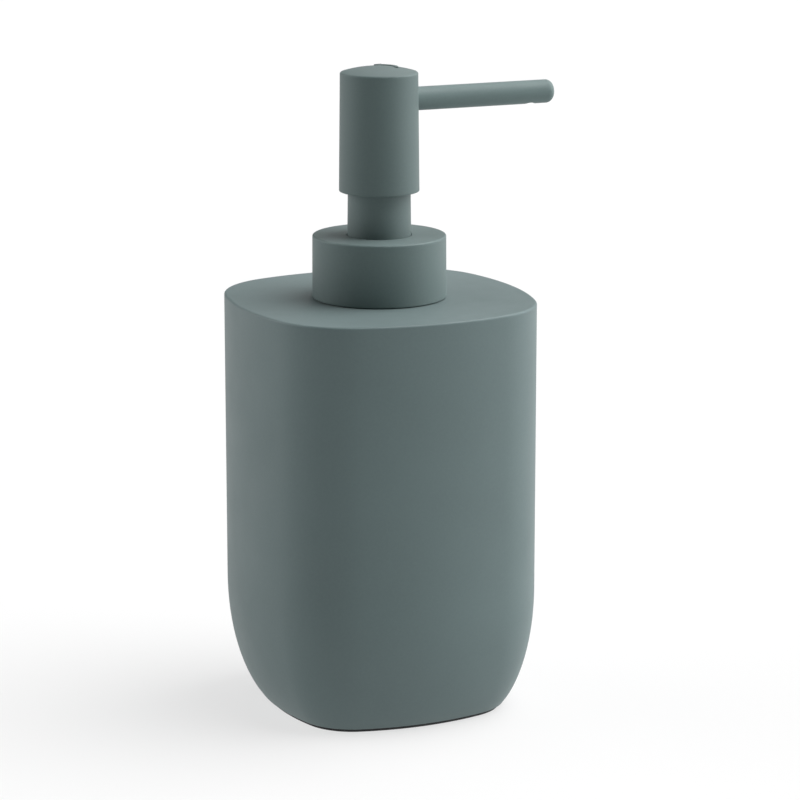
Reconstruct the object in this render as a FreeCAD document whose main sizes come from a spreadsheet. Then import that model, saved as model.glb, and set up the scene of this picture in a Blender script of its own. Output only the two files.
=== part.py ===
"""Soap pump dispenser: a cast bottle with a screwed-on lotion pump, all lengths in millimetres.

Frame: +Z up, the nozzle points along +X, and the origin is on the pump's axis at the
surface the dispenser stands on.
"""
import FreeCAD, Part
import Sketcher
import math
import os

DIMENSIONS = [
    # bottle
    ("body_width", 80.0, "across two opposite sides of the bottle"),
    ("body_top", 113.0, "flat top of the bottle above the surface it stands on"),
    ("side_radius", 75.0, "plan radius of each gently curved side"),
    ("corner_radius", 24.0, "plan radius of each rounded corner"),
    ("foot_height", 32.4, "height over which the sides come in"),
    ("foot_across", 15.4, "half width of the ellipse that the sides follow there"),
    ("foot_deep", 36.4, "half height of that ellipse"),
    ("body_wall", 4.0, "side wall"),
    ("body_floor", 5.0, "floor of the reservoir"),
    ("body_roof", 6.0, "roof over the reservoir, which holds the neck"),
    ("top_round", 0.6, "round along the top edge"),
    ("pad_thickness", 1.0, "soft pad under the base"),
    ("pad_margin", 1.2, "edge of the base left bare around the pad"),
    # threaded neck
    ("neck_radius", 12.7, "radius of the neck under its thread"),
    ("neck_wall", 1.9, "its wall"),
    ("neck_height", 11.0, "neck standing above the bottle's top"),
    ("neck_flange", 3.5, "width of the flange sunk in the bottle's top"),
    ("neck_flange_thick", 2.0, "thickness of that flange"),
    ("neck_tail", 1.0, "neck reaching below the roof"),
    ("glue_gap", 0.1, "gap for adhesive around the neck"),
    ("thread_pitch", 4.233, "six turns to the inch"),
    ("thread_depth", 1.05, "height of the thread ridge"),
    ("thread_root", 2.0, "width of the ridge at its root"),
    ("thread_crest", 1.0, "width of the ridge at its crest"),
    ("thread_play", 0.35, "radial play between a crest and the wall it faces"),
    ("thread_gap", 0.25, "axial play between the flanks"),
    ("neck_thread_start", 3.7, "first turn of the neck's thread above the bottle's top"),
    ("neck_thread_turns", 1.45, "turns of thread on the neck"),
    ("cap_thread_turns", 1.1, "turns of thread in the cap"),
    # collar
    ("collar_draft", 0.1, "how much smaller it is at the top"),
    ("collar_height", 16.8, "height of the collar"),
    ("collar_gap", 0.3, "shadow gap between collar and bottle"),
    ("collar_wall", 1.5, "side wall of the collar shell"),
    ("collar_roof", 1.6, "top of the collar shell"),
    ("collar_round", 0.45, "round along the top edge"),
    ("cap_lift", 0.5, "cap's foot above the collar's foot"),
    ("cap_skirt", 1.2, "skirt of the screw cap"),
    ("cap_roof", 1.4, "top of the screw cap"),
    ("cap_ribs", 24, "ribs that key the cap in the collar shell"),
    ("cap_rib_width", 1.6, "width of each rib"),
    ("cap_rib_depth", 1.35, "how far the ribs stand out of the skirt"),
    ("fit_gap", 0.05, "gap between pieces pressed together"),
    ("turn_gap", 0.25, "gap around pieces that turn past each other"),
    ("seat_gap", 0.05, "gap under a seat that lifts off"),
    # pump
    ("gasket_thick", 1.2, "gasket on the neck's rim"),
    ("gasket_margin", 0.7, "how far it reaches past the neck"),
    ("flange_margin", 0.9, "how far the housing's flange reaches past the neck"),
    ("flange_thick", 1.6, "thickness of that flange"),
    ("cylinder_bore", 6.5, "radius of the pump cylinder"),
    ("cylinder_wall", 1.3, "its wall"),
    ("vent_height", 6.1, "vent hole below the flange"),
    ("vent_radius", 0.6, "radius of the vent hole"),
    ("ball_radius", 2.5, "inlet ball"),
    ("ball_lift", 1.5, "how far the ball lifts"),
    ("ball_gap", 0.05, "gap between ball and seat at rest"),
    ("ball_play", 0.9, "room round the ball in its chamber"),
    ("seat_land", 0.07, "width of the seat inside the ball's line of contact"),
    ("seat_depth", 1.25, "straight wall of the ball chamber above the seat"),
    ("inlet_length", 2.5, "length of the inlet"),
    ("socket_length", 13.0, "socket that holds the dip tube"),
    ("socket_wall", 1.3, "its wall"),
    ("tube_radius", 3.0, "outside of the dip tube"),
    ("tube_bore", 2.1, "inside of the dip tube"),
    ("tube_clear", 2.5, "dip tube's tip above the reservoir's floor"),
    ("tube_cut", 45.0, "angle of the cut at the tip, in degrees"),
    ("cage_plate", 1.8, "plate of the ball cage"),
    ("cage_rim", 1.4, "rim of the ball cage"),
    ("cage_hole", 1.4, "radius of its middle hole"),
    ("cage_port", 0.8, "radius of its flow holes"),
    ("cage_ports", 6, "number of flow holes"),
    ("cage_web", 0.35, "material between flow holes and rim"),
    # chaplet and chimney
    ("inner_gasket_thick", 0.4, "gasket under the chaplet"),
    ("chaplet_flange", 3.8, "width of the chaplet's flange past the cylinder"),
    ("chaplet_flange_thick", 1.0, "its thickness"),
    ("chaplet_plug", 6.2, "how far the chaplet plugs into the housing"),
    ("guide_wall", 2.8, "wall of the guide tube"),
    ("guide_rise", 3.4, "guide tube's top above the head's rim at rest"),
    ("stem_play", 0.1, "radial play of the stem in its guide"),
    ("chimney_wall", 1.7, "wall of the chimney at its foot"),
    ("chimney_draft", 0.22, "how much smaller it is at the top"),
    ("chimney_lip", 0.7, "lip that closes over the guide tube"),
    # plunger
    ("stroke", 11.0, "travel of the pump head"),
    ("stem_radius", 4.0, "outside of the stem"),
    ("stem_bore", 2.7, "inside of the stem"),
    ("stem_shoulder", 0.9, "room round the shoulder that stops under the chaplet"),
    ("stem_shoulder_thick", 1.9, "its thickness"),
    ("stop_gap", 0.2, "gap between shoulder and chaplet at rest"),
    ("shank_bore", 1.5, "inside of the piston stem"),
    ("shank_foot", 1.3, "room round its foot in the cylinder"),
    ("shank_foot_thick", 1.6, "thickness of its foot"),
    ("shank_grip", 7.0, "how far it is pressed into the upper stem"),
    ("shank_port", 0.6, "radius of its ports"),
    ("shank_ports", 4, "number of ports"),
    ("seal_length", 5.5, "length of the piston seal"),
    ("seal_shift", 1.15, "lost motion of the seal on its stem"),
    ("seal_play", 0.05, "radial play of the seal"),
    ("seal_waist", 0.7, "how far the seal is waisted between its lips"),
    ("seal_lip", 1.0, "length of each lip"),
    ("spring_inset", 2.4, "middle of the spring's wire in from the cylinder's wall"),
    ("spring_wire", 0.45, "radius of its wire"),
    ("spring_turns", 8, "number of turns"),
    ("spring_gap", 0.05, "gap at each end of the spring"),
    ("spring_pressed", 8.8, "length of the spring when the head is pressed home"),
    # head
    ("head_height", 32.0, "height of the head shell"),
    ("head_dome", 1.6, "rise of the domed top above that"),
    ("rim_gap", 0.9, "head's rim above the collar when pressed home"),
    ("head_radius", 10.5, "outside of the head at its top"),
    ("head_draft", 0.35, "how much larger it is at its rim"),
    ("head_wall", 0.9, "side wall of the head shell"),
    ("head_roof", 1.2, "top of the head shell"),
    ("head_round", 0.6, "round along the top edge"),
    ("core_gap", 1.0, "core above the chimney when pressed home"),
    ("core_channel", 1.8, "radius of the channel above the stem"),
    ("nozzle_drop", 7.65, "nozzle's axis below the head's top"),
    ("nozzle_radius", 3.2, "outside of the nozzle"),
    ("nozzle_bore", 1.6, "inside of the nozzle"),
    ("nozzle_root", 5.5, "nozzle's inner end from the axis"),
    ("nozzle_reach", 51.3, "nozzle's tip from the axis"),
    ("nozzle_round", 2.0, "round at the tip"),
    ("nozzle_end", 2.6, "closed end beyond the bore"),
    ("outlet_back", 6.9, "outlet hole's axis behind the tip"),
    ("outlet_radius", 1.5, "radius of the outlet hole"),
    ("mark_radius", 4.6, "middle radius of the turning arrow on the head"),
    ("mark_width", 1.1, "width of its band"),
    ("mark_height", 0.25, "height of the relief"),
    ("mark_sweep", 90.0, "angle that the band covers, in degrees"),
    ("mark_turn", 15.0, "turn of the band's middle from the nozzle, in degrees"),
    ("mark_barb", 1.5, "half width of the arrow's barbs"),
    ("mark_tip", 1.95, "arrow's tip beyond the end of its band"),
    ("mark_back", 0.15, "arrow's barbs behind the end of its band"),
]


class Size:
    """A length that carries its number and the spreadsheet expression behind it."""

    def __init__(self, text, value):
        self.text = text
        self.value = value

    def join(self, sign, other, value):
        return Size("(%s %s %s)" % (self.text, sign, other.text), value)

    def __add__(self, other):
        other = size(other)
        return self.join("+", other, self.value + other.value)

    def __sub__(self, other):
        other = size(other)
        return self.join("-", other, self.value - other.value)

    def __mul__(self, other):
        other = size(other)
        return self.join("*", other, self.value * other.value)

    def __truediv__(self, other):
        other = size(other)
        return self.join("/", other, self.value / other.value)

    def __rsub__(self, other):
        return size(other) - self

    def __rmul__(self, other):
        return size(other) * self

    def __neg__(self):
        return size(0) - self

    def root(self):
        return Size("sqrt(%s)" % self.text, math.sqrt(self.value))


def cosine(angle):
    """Cosine of an angle in degrees."""
    return Size("cos((%s) * 1deg)" % angle.text, math.cos(math.radians(angle.value)))


def sine(angle):
    """Sine of an angle in degrees."""
    return Size("sin((%s) * 1deg)" % angle.text, math.sin(math.radians(angle.value)))


def size(number):
    """A Size as it is, or a plain number as a Size."""
    return number if isinstance(number, Size) else Size("%g" % number, number)


class Sheet:
    """The driving dimensions, read by alias."""

    def __init__(self, doc):
        self.cells = doc.addObject("Spreadsheet::Sheet", "Dims")
        for row, (alias, number, meaning) in enumerate(DIMENSIONS, start=1):
            self.cells.set("A%d" % row, meaning)
            self.cells.set("B%d" % row, "%g" % number)
            self.cells.setAlias("B%d" % row, alias)
        doc.recompute()

    def __getattr__(self, alias):
        return Size("Dims." + alias, float(self.cells.get(alias)))


doc = FreeCAD.newDocument("SoapPump")
dim = Sheet(doc)
PARTS = []


# ---------------------------------------------------------------- building blocks

def new_part(label):
    """A body of its own for one sub-part."""
    body = doc.addObject("PartDesign::Body", label)
    body.Label = label
    PARTS.append(body)
    return body


def plane(body, role):
    """The body's own origin plane with this role."""
    return [item for item in body.Origin.OriginFeatures if item.Role == role][0]


def new_sketch(body, role="XZ_Plane", offset=None, turn=None):
    """A sketch on an origin plane, moved along its normal or turned about the sketch's up axis."""
    sketch = body.newObject("Sketcher::SketchObject", body.Label + "_sketch")
    sketch.AttachmentSupport = [(plane(body, role), "")]
    sketch.MapMode = "FlatFace"
    if offset is not None:
        sketch.setExpression("AttachmentOffset.Base.z", size(offset).text)
    if turn is not None:
        turning = FreeCAD.Rotation(FreeCAD.Vector(0, 1, 0), turn.value)
        sketch.AttachmentOffset = FreeCAD.Placement(FreeCAD.Vector(0, 0, 0), turning)
        sketch.setExpression("AttachmentOffset.Rotation.Angle", turn.text)
    return sketch


def bind(sketch, kind, number, *where):
    """A driving constraint whose value is an expression."""
    number = size(number)
    index = sketch.addConstraint(Sketcher.Constraint(kind, *where, number.value))
    sketch.setExpression("Constraints[%d]" % index, number.text)


def place_point(sketch, geo, end, across, up):
    """Hold one end of a line at two expressions from the sketch's origin."""
    for kind, number, axis in (("DistanceX", across, -2), ("DistanceY", up, -1)):
        if size(number).value == 0:
            sketch.addConstraint(Sketcher.Constraint("PointOnObject", geo, end, axis))
        else:
            bind(sketch, kind, number, -1, 1, geo, end)


def polygon(sketch, points):
    """A closed outline whose every corner is bound to expressions."""
    corners = [FreeCAD.Vector(size(x).value, size(y).value, 0) for x, y in points]
    first = sketch.GeometryCount
    count = len(corners)
    for i in range(count):
        sketch.addGeometry(Part.LineSegment(corners[i], corners[(i + 1) % count]), False)
    for i in range(count):
        after = first + (i + 1) % count
        sketch.addConstraint(Sketcher.Constraint("Coincident", first + i, 2, after, 1))
    for i, (x, y) in enumerate(points):
        place_point(sketch, first + i, 1, x, y)


def circle(sketch, across, up, radius):
    """A circle whose centre and radius are bound to expressions."""
    centre = FreeCAD.Vector(size(across).value, size(up).value, 0)
    geo = sketch.addGeometry(Part.Circle(centre, FreeCAD.Vector(0, 0, 1), size(radius).value), False)
    place_point(sketch, geo, 3, across, up)
    bind(sketch, "Radius", radius, geo)


def turned(body, points, cut=False, sweep=None, turn=None):
    """Revolve an outline of (radius, height) points about Z, to add it or to cut it away.
    A sweep makes it a part turn, half each side of the sketch."""
    sketch = new_sketch(body, turn=turn)
    polygon(sketch, points)
    kind = "PartDesign::Groove" if cut else "PartDesign::Revolution"
    feature = body.newObject(kind, body.Label + ("_groove" if cut else "_turning"))
    feature.Profile = sketch
    feature.ReferenceAxis = (sketch, ["V_Axis"])
    feature.Angle = 360.0
    if sweep is not None:
        feature.Midplane = True
        feature.setExpression("Angle", sweep.text)
    return finish(body, feature)


def domed(body, radius, foot, rise):
    """Add a cap of a ball on a flat top: this radius at its foot, this rise at its middle."""
    ball = (radius * radius + rise * rise) / (rise * 2)
    crest = foot + rise
    sketch = new_sketch(body)
    middle = FreeCAD.Vector(0, (crest - ball).value, 0)
    start = math.acos(radius.value / ball.value)
    circle_of_ball = Part.Circle(middle, FreeCAD.Vector(0, 0, 1), ball.value)
    corners = [FreeCAD.Vector(0, crest.value, 0), FreeCAD.Vector(0, foot.value, 0),
               FreeCAD.Vector(radius.value, foot.value, 0)]
    sketch.addGeometry(Part.ArcOfCircle(circle_of_ball, start, math.pi / 2), False)
    sketch.addGeometry(Part.LineSegment(corners[0], corners[1]), False)
    sketch.addGeometry(Part.LineSegment(corners[1], corners[2]), False)
    for i in range(3):
        sketch.addConstraint(Sketcher.Constraint("Coincident", i, 2, (i + 1) % 3, 1))
    place_point(sketch, 1, 1, 0, crest)
    place_point(sketch, 1, 2, 0, foot)
    place_point(sketch, 2, 2, radius, foot)
    sketch.addConstraint(Sketcher.Constraint("PointOnObject", 0, 3, -2))
    feature = body.newObject("PartDesign::Revolution", body.Label + "_dome")
    feature.Profile = sketch
    feature.ReferenceAxis = (sketch, ["V_Axis"])
    feature.Angle = 360.0
    return finish(body, feature)


def finish(body, feature):
    """Recompute, make the feature the body's tip and stop if it failed or changed nothing."""
    before = feature.BaseFeature.Shape.Volume if feature.BaseFeature else 0.0
    body.Tip = feature
    doc.recompute()
    if "Invalid" in feature.State or "Error" in feature.State or not feature.isValid():
        raise RuntimeError("%s failed: %s" % (feature.Label, feature.State))
    if abs(feature.Shape.Volume - before) < 1e-6:
        raise RuntimeError("%s changed nothing" % feature.Label)
    return feature


def drilled(body, role, across, up, radius, depth, offset=None, back=False):
    """Cut a round hole from an origin plane, or from a plane parallel to it, one way."""
    sketch = new_sketch(body, role, offset)
    circle(sketch, across, up, radius)
    pocket = body.newObject("PartDesign::Pocket", body.Label + "_hole")
    pocket.Profile = sketch
    pocket.setExpression("Length", size(depth).text)
    pocket.Reversed = back
    return finish(body, pocket)


def around(body, feature, count):
    """Repeat a feature round the Z axis."""
    pattern = body.newObject("PartDesign::PolarPattern", body.Label + "_ring")
    pattern.Originals = [feature]
    pattern.Axis = ([item for item in body.Origin.OriginFeatures if item.Role == "Z_Axis"][0], [""])
    pattern.Angle = 360.0
    pattern.setExpression("Occurrences", count.text)
    return finish(body, pattern)


def rounded(body, feature, picked, radius):
    """Round the edges that a test picks out."""
    names = ["Edge%d" % (i + 1) for i, edge in enumerate(feature.Shape.Edges) if picked(edge)]
    fillet = body.newObject("PartDesign::Fillet", body.Label + "_round")
    fillet.Base = (feature, names)
    fillet.setExpression("Radius", radius.text)
    return finish(body, fillet)


def rim_at(radius, height):
    """A test for the whole circular edges about Z of this radius at this height."""
    def test(edge):
        box = edge.BoundBox
        return abs(box.ZMin - height.value) < 1e-4 and abs(box.ZMax - height.value) < 1e-4 \
            and abs(box.XMax - radius.value) < 1e-3
    return test


def thread_ridge(body, start, turns, root_radius, crest_radius):
    """Add a helical ridge whose outline is a trapezium from its root to its crest radius."""
    root = dim.thread_root
    crest = dim.thread_crest
    sketch = new_sketch(body)
    polygon(sketch, [(root_radius, start - root / 2), (crest_radius, start - crest / 2),
                     (crest_radius, start + crest / 2), (root_radius, start + root / 2)])
    helix = body.newObject("PartDesign::AdditiveHelix", body.Label + "_thread")
    helix.Profile = sketch
    helix.ReferenceAxis = (sketch, ["V_Axis"])
    helix.Mode = 0
    helix.setExpression("Pitch", dim.thread_pitch.text)
    helix.setExpression("Height", (dim.thread_pitch * turns).text)
    return finish(body, helix)


# ---------------------------------------------------------------- levels that pieces share

HALF_WIDTH = dim.body_width / 2
BASE = dim.pad_thickness

# radii, from the neck outwards and from the cylinder inwards
NECK_BORE = dim.neck_radius - dim.neck_wall
CAP_BORE = dim.neck_radius + dim.thread_depth + dim.thread_play
CAP_SKIRT = CAP_BORE + dim.cap_skirt
CAP_RIBS = CAP_SKIRT + dim.cap_rib_depth
COLLAR_BORE = CAP_RIBS + dim.fit_gap
COLLAR_RADIUS = COLLAR_BORE + dim.collar_wall
CHAPLET_FLANGE = dim.cylinder_bore + dim.chaplet_flange
GUIDE_BORE = dim.stem_radius + dim.stem_play
GUIDE_RADIUS = GUIDE_BORE + dim.guide_wall
CHIMNEY_RADIUS = GUIDE_RADIUS + dim.fit_gap + dim.chimney_wall
SHANK_RADIUS = dim.stem_bore - dim.fit_gap
BALL_BORE = dim.ball_radius + dim.ball_play
INLET_BORE = dim.ball_radius / math.sqrt(2) - dim.seat_land
SOCKET_BORE = dim.tube_radius + dim.fit_gap
CAGE_RADIUS = dim.cylinder_bore - dim.fit_gap
CAGE_BORE = CAGE_RADIUS - dim.cage_rim

# heights of the pump's fixed pieces, from the bottle's top upwards
NECK_RIM = dim.body_top + dim.neck_height
FLANGE_FOOT = NECK_RIM + dim.seat_gap + dim.gasket_thick
FLANGE_TOP = FLANGE_FOOT + dim.flange_thick
CHAPLET_SEAT = FLANGE_TOP + dim.inner_gasket_thick
CHAPLET_DECK = CHAPLET_SEAT + dim.chaplet_flange_thick
CHAPLET_FOOT = CHAPLET_SEAT - dim.chaplet_plug
COLLAR_FOOT = dim.body_top + dim.collar_gap
COLLAR_TOP = COLLAR_FOOT + dim.collar_height

# heights of the head at rest, which leave room for the stroke
HEAD_RIM = COLLAR_TOP + dim.rim_gap + dim.stroke
HEAD_TOP = HEAD_RIM + dim.head_height
NOZZLE_AXIS = HEAD_TOP - dim.nozzle_drop
GUIDE_TOP = HEAD_RIM + dim.guide_rise
CHIMNEY_TOP = GUIDE_TOP + dim.fit_gap + dim.chimney_lip
CORE_FOOT = CHIMNEY_TOP + dim.core_gap + dim.stroke
CORE_TOP = HEAD_TOP - dim.head_roof - dim.fit_gap
STEM_TOP = NOZZLE_AXIS - dim.nozzle_radius - dim.fit_gap

# heights of the plunger at rest, from the chaplet downwards
SHOULDER_TOP = CHAPLET_FOOT - dim.stop_gap
SHOULDER_FOOT = SHOULDER_TOP - dim.stem_shoulder_thick
SEAL_TOP = SHOULDER_FOOT - dim.seal_shift - dim.seat_gap
SEAL_FOOT = SEAL_TOP - dim.seal_length
SHANK_DECK = SEAL_FOOT - dim.seat_gap
SHANK_FOOT = SHANK_DECK - dim.shank_foot_thick

# heights at the cylinder's floor: the cage carries the pressed spring, and the ball sits under the cage
CAGE_TOP = SHANK_FOOT - dim.stroke - dim.spring_pressed
CAGE_PLATE_FOOT = CAGE_TOP - dim.cage_plate
BALL_CENTRE = CAGE_PLATE_FOOT - dim.ball_gap - dim.ball_lift - dim.ball_radius
SEAT_FOOT = BALL_CENTRE - dim.ball_gap - dim.ball_radius * math.sqrt(2) + INLET_BORE
SEAT_TOP = SEAT_FOOT + (BALL_BORE - INLET_BORE)
CYLINDER_FLOOR = SEAT_TOP + dim.seat_depth
INLET_FOOT = SEAT_FOOT - dim.inlet_length
SOCKET_FOOT = INLET_FOOT - dim.socket_length
TUBE_FOOT = BASE + dim.body_floor + dim.tube_clear

# the thread: its first turns, and how far a ridge is sunk in its wall
NECK_THREAD = dim.body_top + dim.neck_thread_start
FLANK_PAIR = (dim.thread_root + dim.thread_crest) / 2
CAP_THREAD = NECK_THREAD - FLANK_PAIR - dim.thread_gap
SUNK = size(0.3)
# A cutting outline reaches this far past what it cuts.
PAST = size(1)
# Spans of the loft that follows the foot curve.
LOFT_STEPS = 6


# ---------------------------------------------------------------- bottle

def squircle(body, level, inset):
    """A rounded-square outline of eight tangent arcs, moved in from the bottle's widest outline."""
    half = HALF_WIDTH - inset
    side = dim.side_radius - inset
    corner = dim.corner_radius - inset
    back = side - half
    gap = (side - corner).value
    reach = (math.sqrt(2 * gap ** 2 - back.value ** 2) - back.value) / 2
    turn = math.atan2(reach, back.value + reach)
    quarter = math.pi / 2
    up = FreeCAD.Vector(0, 0, 1)
    sketch = new_sketch(body, "XY_Plane", level)
    for i in range(4):
        aim = i * quarter
        side_centre = FreeCAD.Vector(-back.value * math.cos(aim), -back.value * math.sin(aim), 0)
        diagonal = aim + quarter / 2
        corner_centre = FreeCAD.Vector(math.cos(diagonal), math.sin(diagonal), 0) * (reach * math.sqrt(2))
        side_arc = Part.Circle(side_centre, up, side.value)
        corner_arc = Part.Circle(corner_centre, up, corner.value)
        sketch.addGeometry(Part.ArcOfCircle(side_arc, aim - turn, aim + turn), False)
        sketch.addGeometry(Part.ArcOfCircle(corner_arc, aim + turn, aim + quarter - turn), False)
    for i in range(8):
        sketch.addConstraint(Sketcher.Constraint("Tangent", i, 2, (i + 1) % 8, 1))
        bind(sketch, "Radius", side if i % 2 == 0 else corner, i)
    for i, (across, along) in enumerate(((-back, 0), (0, -back), (back, 0), (0, back))):
        place_point(sketch, 2 * i, 3, across, along)
    return sketch


def foot_curve(depth):
    """How far the side has come in this far below the top of the foot: a part of an ellipse."""
    share = depth / dim.foot_deep
    return dim.foot_across - dim.foot_across * (1 - share * share).root()


def squircle_solid(body, foot, top, inset, cut=False):
    """Straight sides down to the foot curve, then a loft along the curve to the foot."""
    foot_top = BASE + dim.foot_height
    straight = squircle(body, foot_top, inset)
    pad = body.newObject("PartDesign::Pocket" if cut else "PartDesign::Pad", body.Label + "_sides")
    pad.Profile = straight
    pad.setExpression("Length", (top - foot_top).text)
    pad.Reversed = cut
    finish(body, pad)
    depths = [(foot_top - foot) * (i / LOFT_STEPS) for i in range(LOFT_STEPS + 1)]
    sections = [squircle(body, foot_top - depth, inset + foot_curve(depth)) for depth in depths]
    loft = body.newObject("PartDesign::SubtractiveLoft" if cut else "PartDesign::AdditiveLoft",
                          body.Label + "_foot")
    loft.Profile = sections[0]
    loft.Sections = sections[1:]
    return finish(body, loft)


def bottle_body():
    """The cast bottle: outer form, reservoir, and the stepped mouth that takes the neck."""
    body = new_part("bottle_body")
    outer = squircle_solid(body, BASE, dim.body_top, size(0))
    rounded(body, outer, lambda edge: abs(edge.BoundBox.ZMin - dim.body_top.value) < 1e-4, dim.top_round)
    squircle_solid(body, BASE + dim.body_floor, dim.body_top - dim.body_roof, dim.body_wall, cut=True)
    mouth = dim.neck_radius + dim.glue_gap
    ledge = dim.neck_radius + dim.neck_flange + dim.glue_gap
    sill = dim.body_top - dim.neck_flange_thick - dim.glue_gap
    below = dim.body_top - dim.body_roof - PAST
    above = dim.body_top + PAST
    turned(body, [(0, below), (mouth, below), (mouth, sill), (ledge, sill), (ledge, above), (0, above)],
           cut=True)


def neck_insert():
    """The threaded neck, bonded into the bottle's mouth by its sunk flange."""
    body = new_part("neck_insert")
    tail = dim.body_top - dim.body_roof - dim.neck_tail
    shelf = dim.body_top - dim.neck_flange_thick
    flange = dim.neck_radius + dim.neck_flange
    turned(body, [(NECK_BORE, tail), (dim.neck_radius, tail), (dim.neck_radius, shelf),
                  (flange, shelf), (flange, dim.body_top), (dim.neck_radius, dim.body_top),
                  (dim.neck_radius, NECK_RIM), (NECK_BORE, NECK_RIM)])
    thread_ridge(body, NECK_THREAD, dim.neck_thread_turns, dim.neck_radius - SUNK,
                 dim.neck_radius + dim.thread_depth)


def base_pad():
    """The soft pad under the base, in from its edge."""
    body = new_part("base_pad")
    outline = squircle(body, 0, foot_curve(dim.foot_height) + dim.pad_margin)
    pad = body.newObject("PartDesign::Pad", "base_pad_sheet")
    pad.Profile = outline
    pad.setExpression("Length", dim.pad_thickness.text)
    finish(body, pad)


# ---------------------------------------------------------------- collar

def collar_shell():
    """The decorative shell over the screw cap, open below and with a hole for the chimney."""
    body = new_part("collar_shell")
    top_radius = COLLAR_RADIUS - dim.collar_draft
    hole = CHIMNEY_RADIUS + dim.turn_gap
    ceiling = COLLAR_TOP - dim.collar_roof
    shell = turned(body, [(COLLAR_BORE, COLLAR_FOOT), (COLLAR_RADIUS, COLLAR_FOOT),
                          (top_radius, COLLAR_TOP), (hole, COLLAR_TOP), (hole, ceiling),
                          (COLLAR_BORE, ceiling)])
    rounded(body, shell, rim_at(top_radius, COLLAR_TOP), dim.collar_round)


def screw_cap():
    """The inner cap: a ribbed skirt with the female thread, and a top that bears on the pump's flange."""
    body = new_part("screw_cap")
    foot = COLLAR_FOOT + dim.cap_lift
    bearing = FLANGE_TOP + dim.seat_gap
    top = bearing + dim.cap_roof
    hole = CHAPLET_FLANGE + dim.turn_gap
    turned(body, [(CAP_BORE, foot), (CAP_SKIRT, foot), (CAP_SKIRT, top), (hole, top),
                  (hole, bearing), (CAP_BORE, bearing)])
    rib = new_sketch(body, "XY_Plane", foot)
    inside = CAP_SKIRT - SUNK
    half = dim.cap_rib_width / 2
    polygon(rib, [(inside, -half), (CAP_RIBS, -half), (CAP_RIBS, half), (inside, half)])
    pad = body.newObject("PartDesign::Pad", "screw_cap_rib")
    pad.Profile = rib
    pad.setExpression("Length", (top - foot).text)
    finish(body, pad)
    around(body, pad, dim.cap_ribs)
    thread_ridge(body, CAP_THREAD, dim.cap_thread_turns, CAP_BORE + SUNK, CAP_BORE - dim.thread_depth)


# ---------------------------------------------------------------- pump

def ring(label, inner, outer, foot, top):
    """A plain washer or sleeve."""
    turned(new_part(label), [(inner, foot), (outer, foot), (outer, top), (inner, top)])


def pump_housing():
    """Flange, cylinder, ball seat and dip-tube socket in one moulding, with a vent hole."""
    body = new_part("pump_housing")
    outer = dim.cylinder_bore + dim.cylinder_wall
    flange = dim.neck_radius + dim.flange_margin
    socket = SOCKET_BORE + dim.socket_wall
    turned(body, [(SOCKET_BORE, SOCKET_FOOT), (socket, SOCKET_FOOT), (socket, SEAT_FOOT - INLET_BORE),
                  (outer, CYLINDER_FLOOR), (outer, FLANGE_FOOT), (flange, FLANGE_FOOT),
                  (flange, FLANGE_TOP), (dim.cylinder_bore, FLANGE_TOP),
                  (dim.cylinder_bore, CYLINDER_FLOOR), (BALL_BORE, CYLINDER_FLOOR),
                  (BALL_BORE, SEAT_TOP), (INLET_BORE, SEAT_FOOT), (INLET_BORE, INLET_FOOT),
                  (SOCKET_BORE, INLET_FOOT)])
    drilled(body, "YZ_Plane", 0, FLANGE_TOP - dim.vent_height, dim.vent_radius, outer + PAST, back=True)


def chaplet():
    """The snap-in guide: a plug in the housing, a flange, and the tube that guides the stem."""
    body = new_part("chaplet")
    plug = dim.cylinder_bore - dim.fit_gap
    turned(body, [(GUIDE_BORE, CHAPLET_FOOT), (plug, CHAPLET_FOOT), (plug, CHAPLET_SEAT),
                  (CHAPLET_FLANGE, CHAPLET_SEAT), (CHAPLET_FLANGE, CHAPLET_DECK),
                  (GUIDE_RADIUS, CHAPLET_DECK), (GUIDE_RADIUS, GUIDE_TOP), (GUIDE_BORE, GUIDE_TOP)])


def chimney_sleeve():
    """The decorative sleeve over the guide tube, closed over its top by a lip."""
    body = new_part("chimney_sleeve")
    inner = GUIDE_RADIUS + dim.fit_gap
    lip_foot = GUIDE_TOP + dim.fit_gap
    hole = dim.stem_radius + dim.turn_gap
    turned(body, [(inner, CHAPLET_DECK), (CHIMNEY_RADIUS, CHAPLET_DECK),
                  (CHIMNEY_RADIUS - dim.chimney_draft, CHIMNEY_TOP), (hole, CHIMNEY_TOP),
                  (hole, lip_foot), (inner, lip_foot)])


def ball_cage():
    """The disc that keeps the ball in and carries the spring, with flow holes round it."""
    body = new_part("ball_cage")
    turned(body, [(CAGE_BORE, CYLINDER_FLOOR), (CAGE_RADIUS, CYLINDER_FLOOR), (CAGE_RADIUS, CAGE_TOP),
                  (dim.cage_hole, CAGE_TOP), (dim.cage_hole, CAGE_PLATE_FOOT),
                  (CAGE_BORE, CAGE_PLATE_FOOT)])
    port_circle = CAGE_BORE - dim.cage_web - dim.cage_port
    port = drilled(body, "XY_Plane", port_circle, 0, dim.cage_port, dim.cage_plate + PAST, CAGE_TOP)
    around(body, port, dim.cage_ports)


def inlet_ball():
    """The steel ball on its seat."""
    body = new_part("inlet_ball")
    ball = body.newObject("PartDesign::AdditiveSphere", "inlet_ball_sphere")
    ball.setExpression("Radius", dim.ball_radius.text)
    ball.setExpression("Placement.Base.z", BALL_CENTRE.text)
    finish(body, ball)


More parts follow.
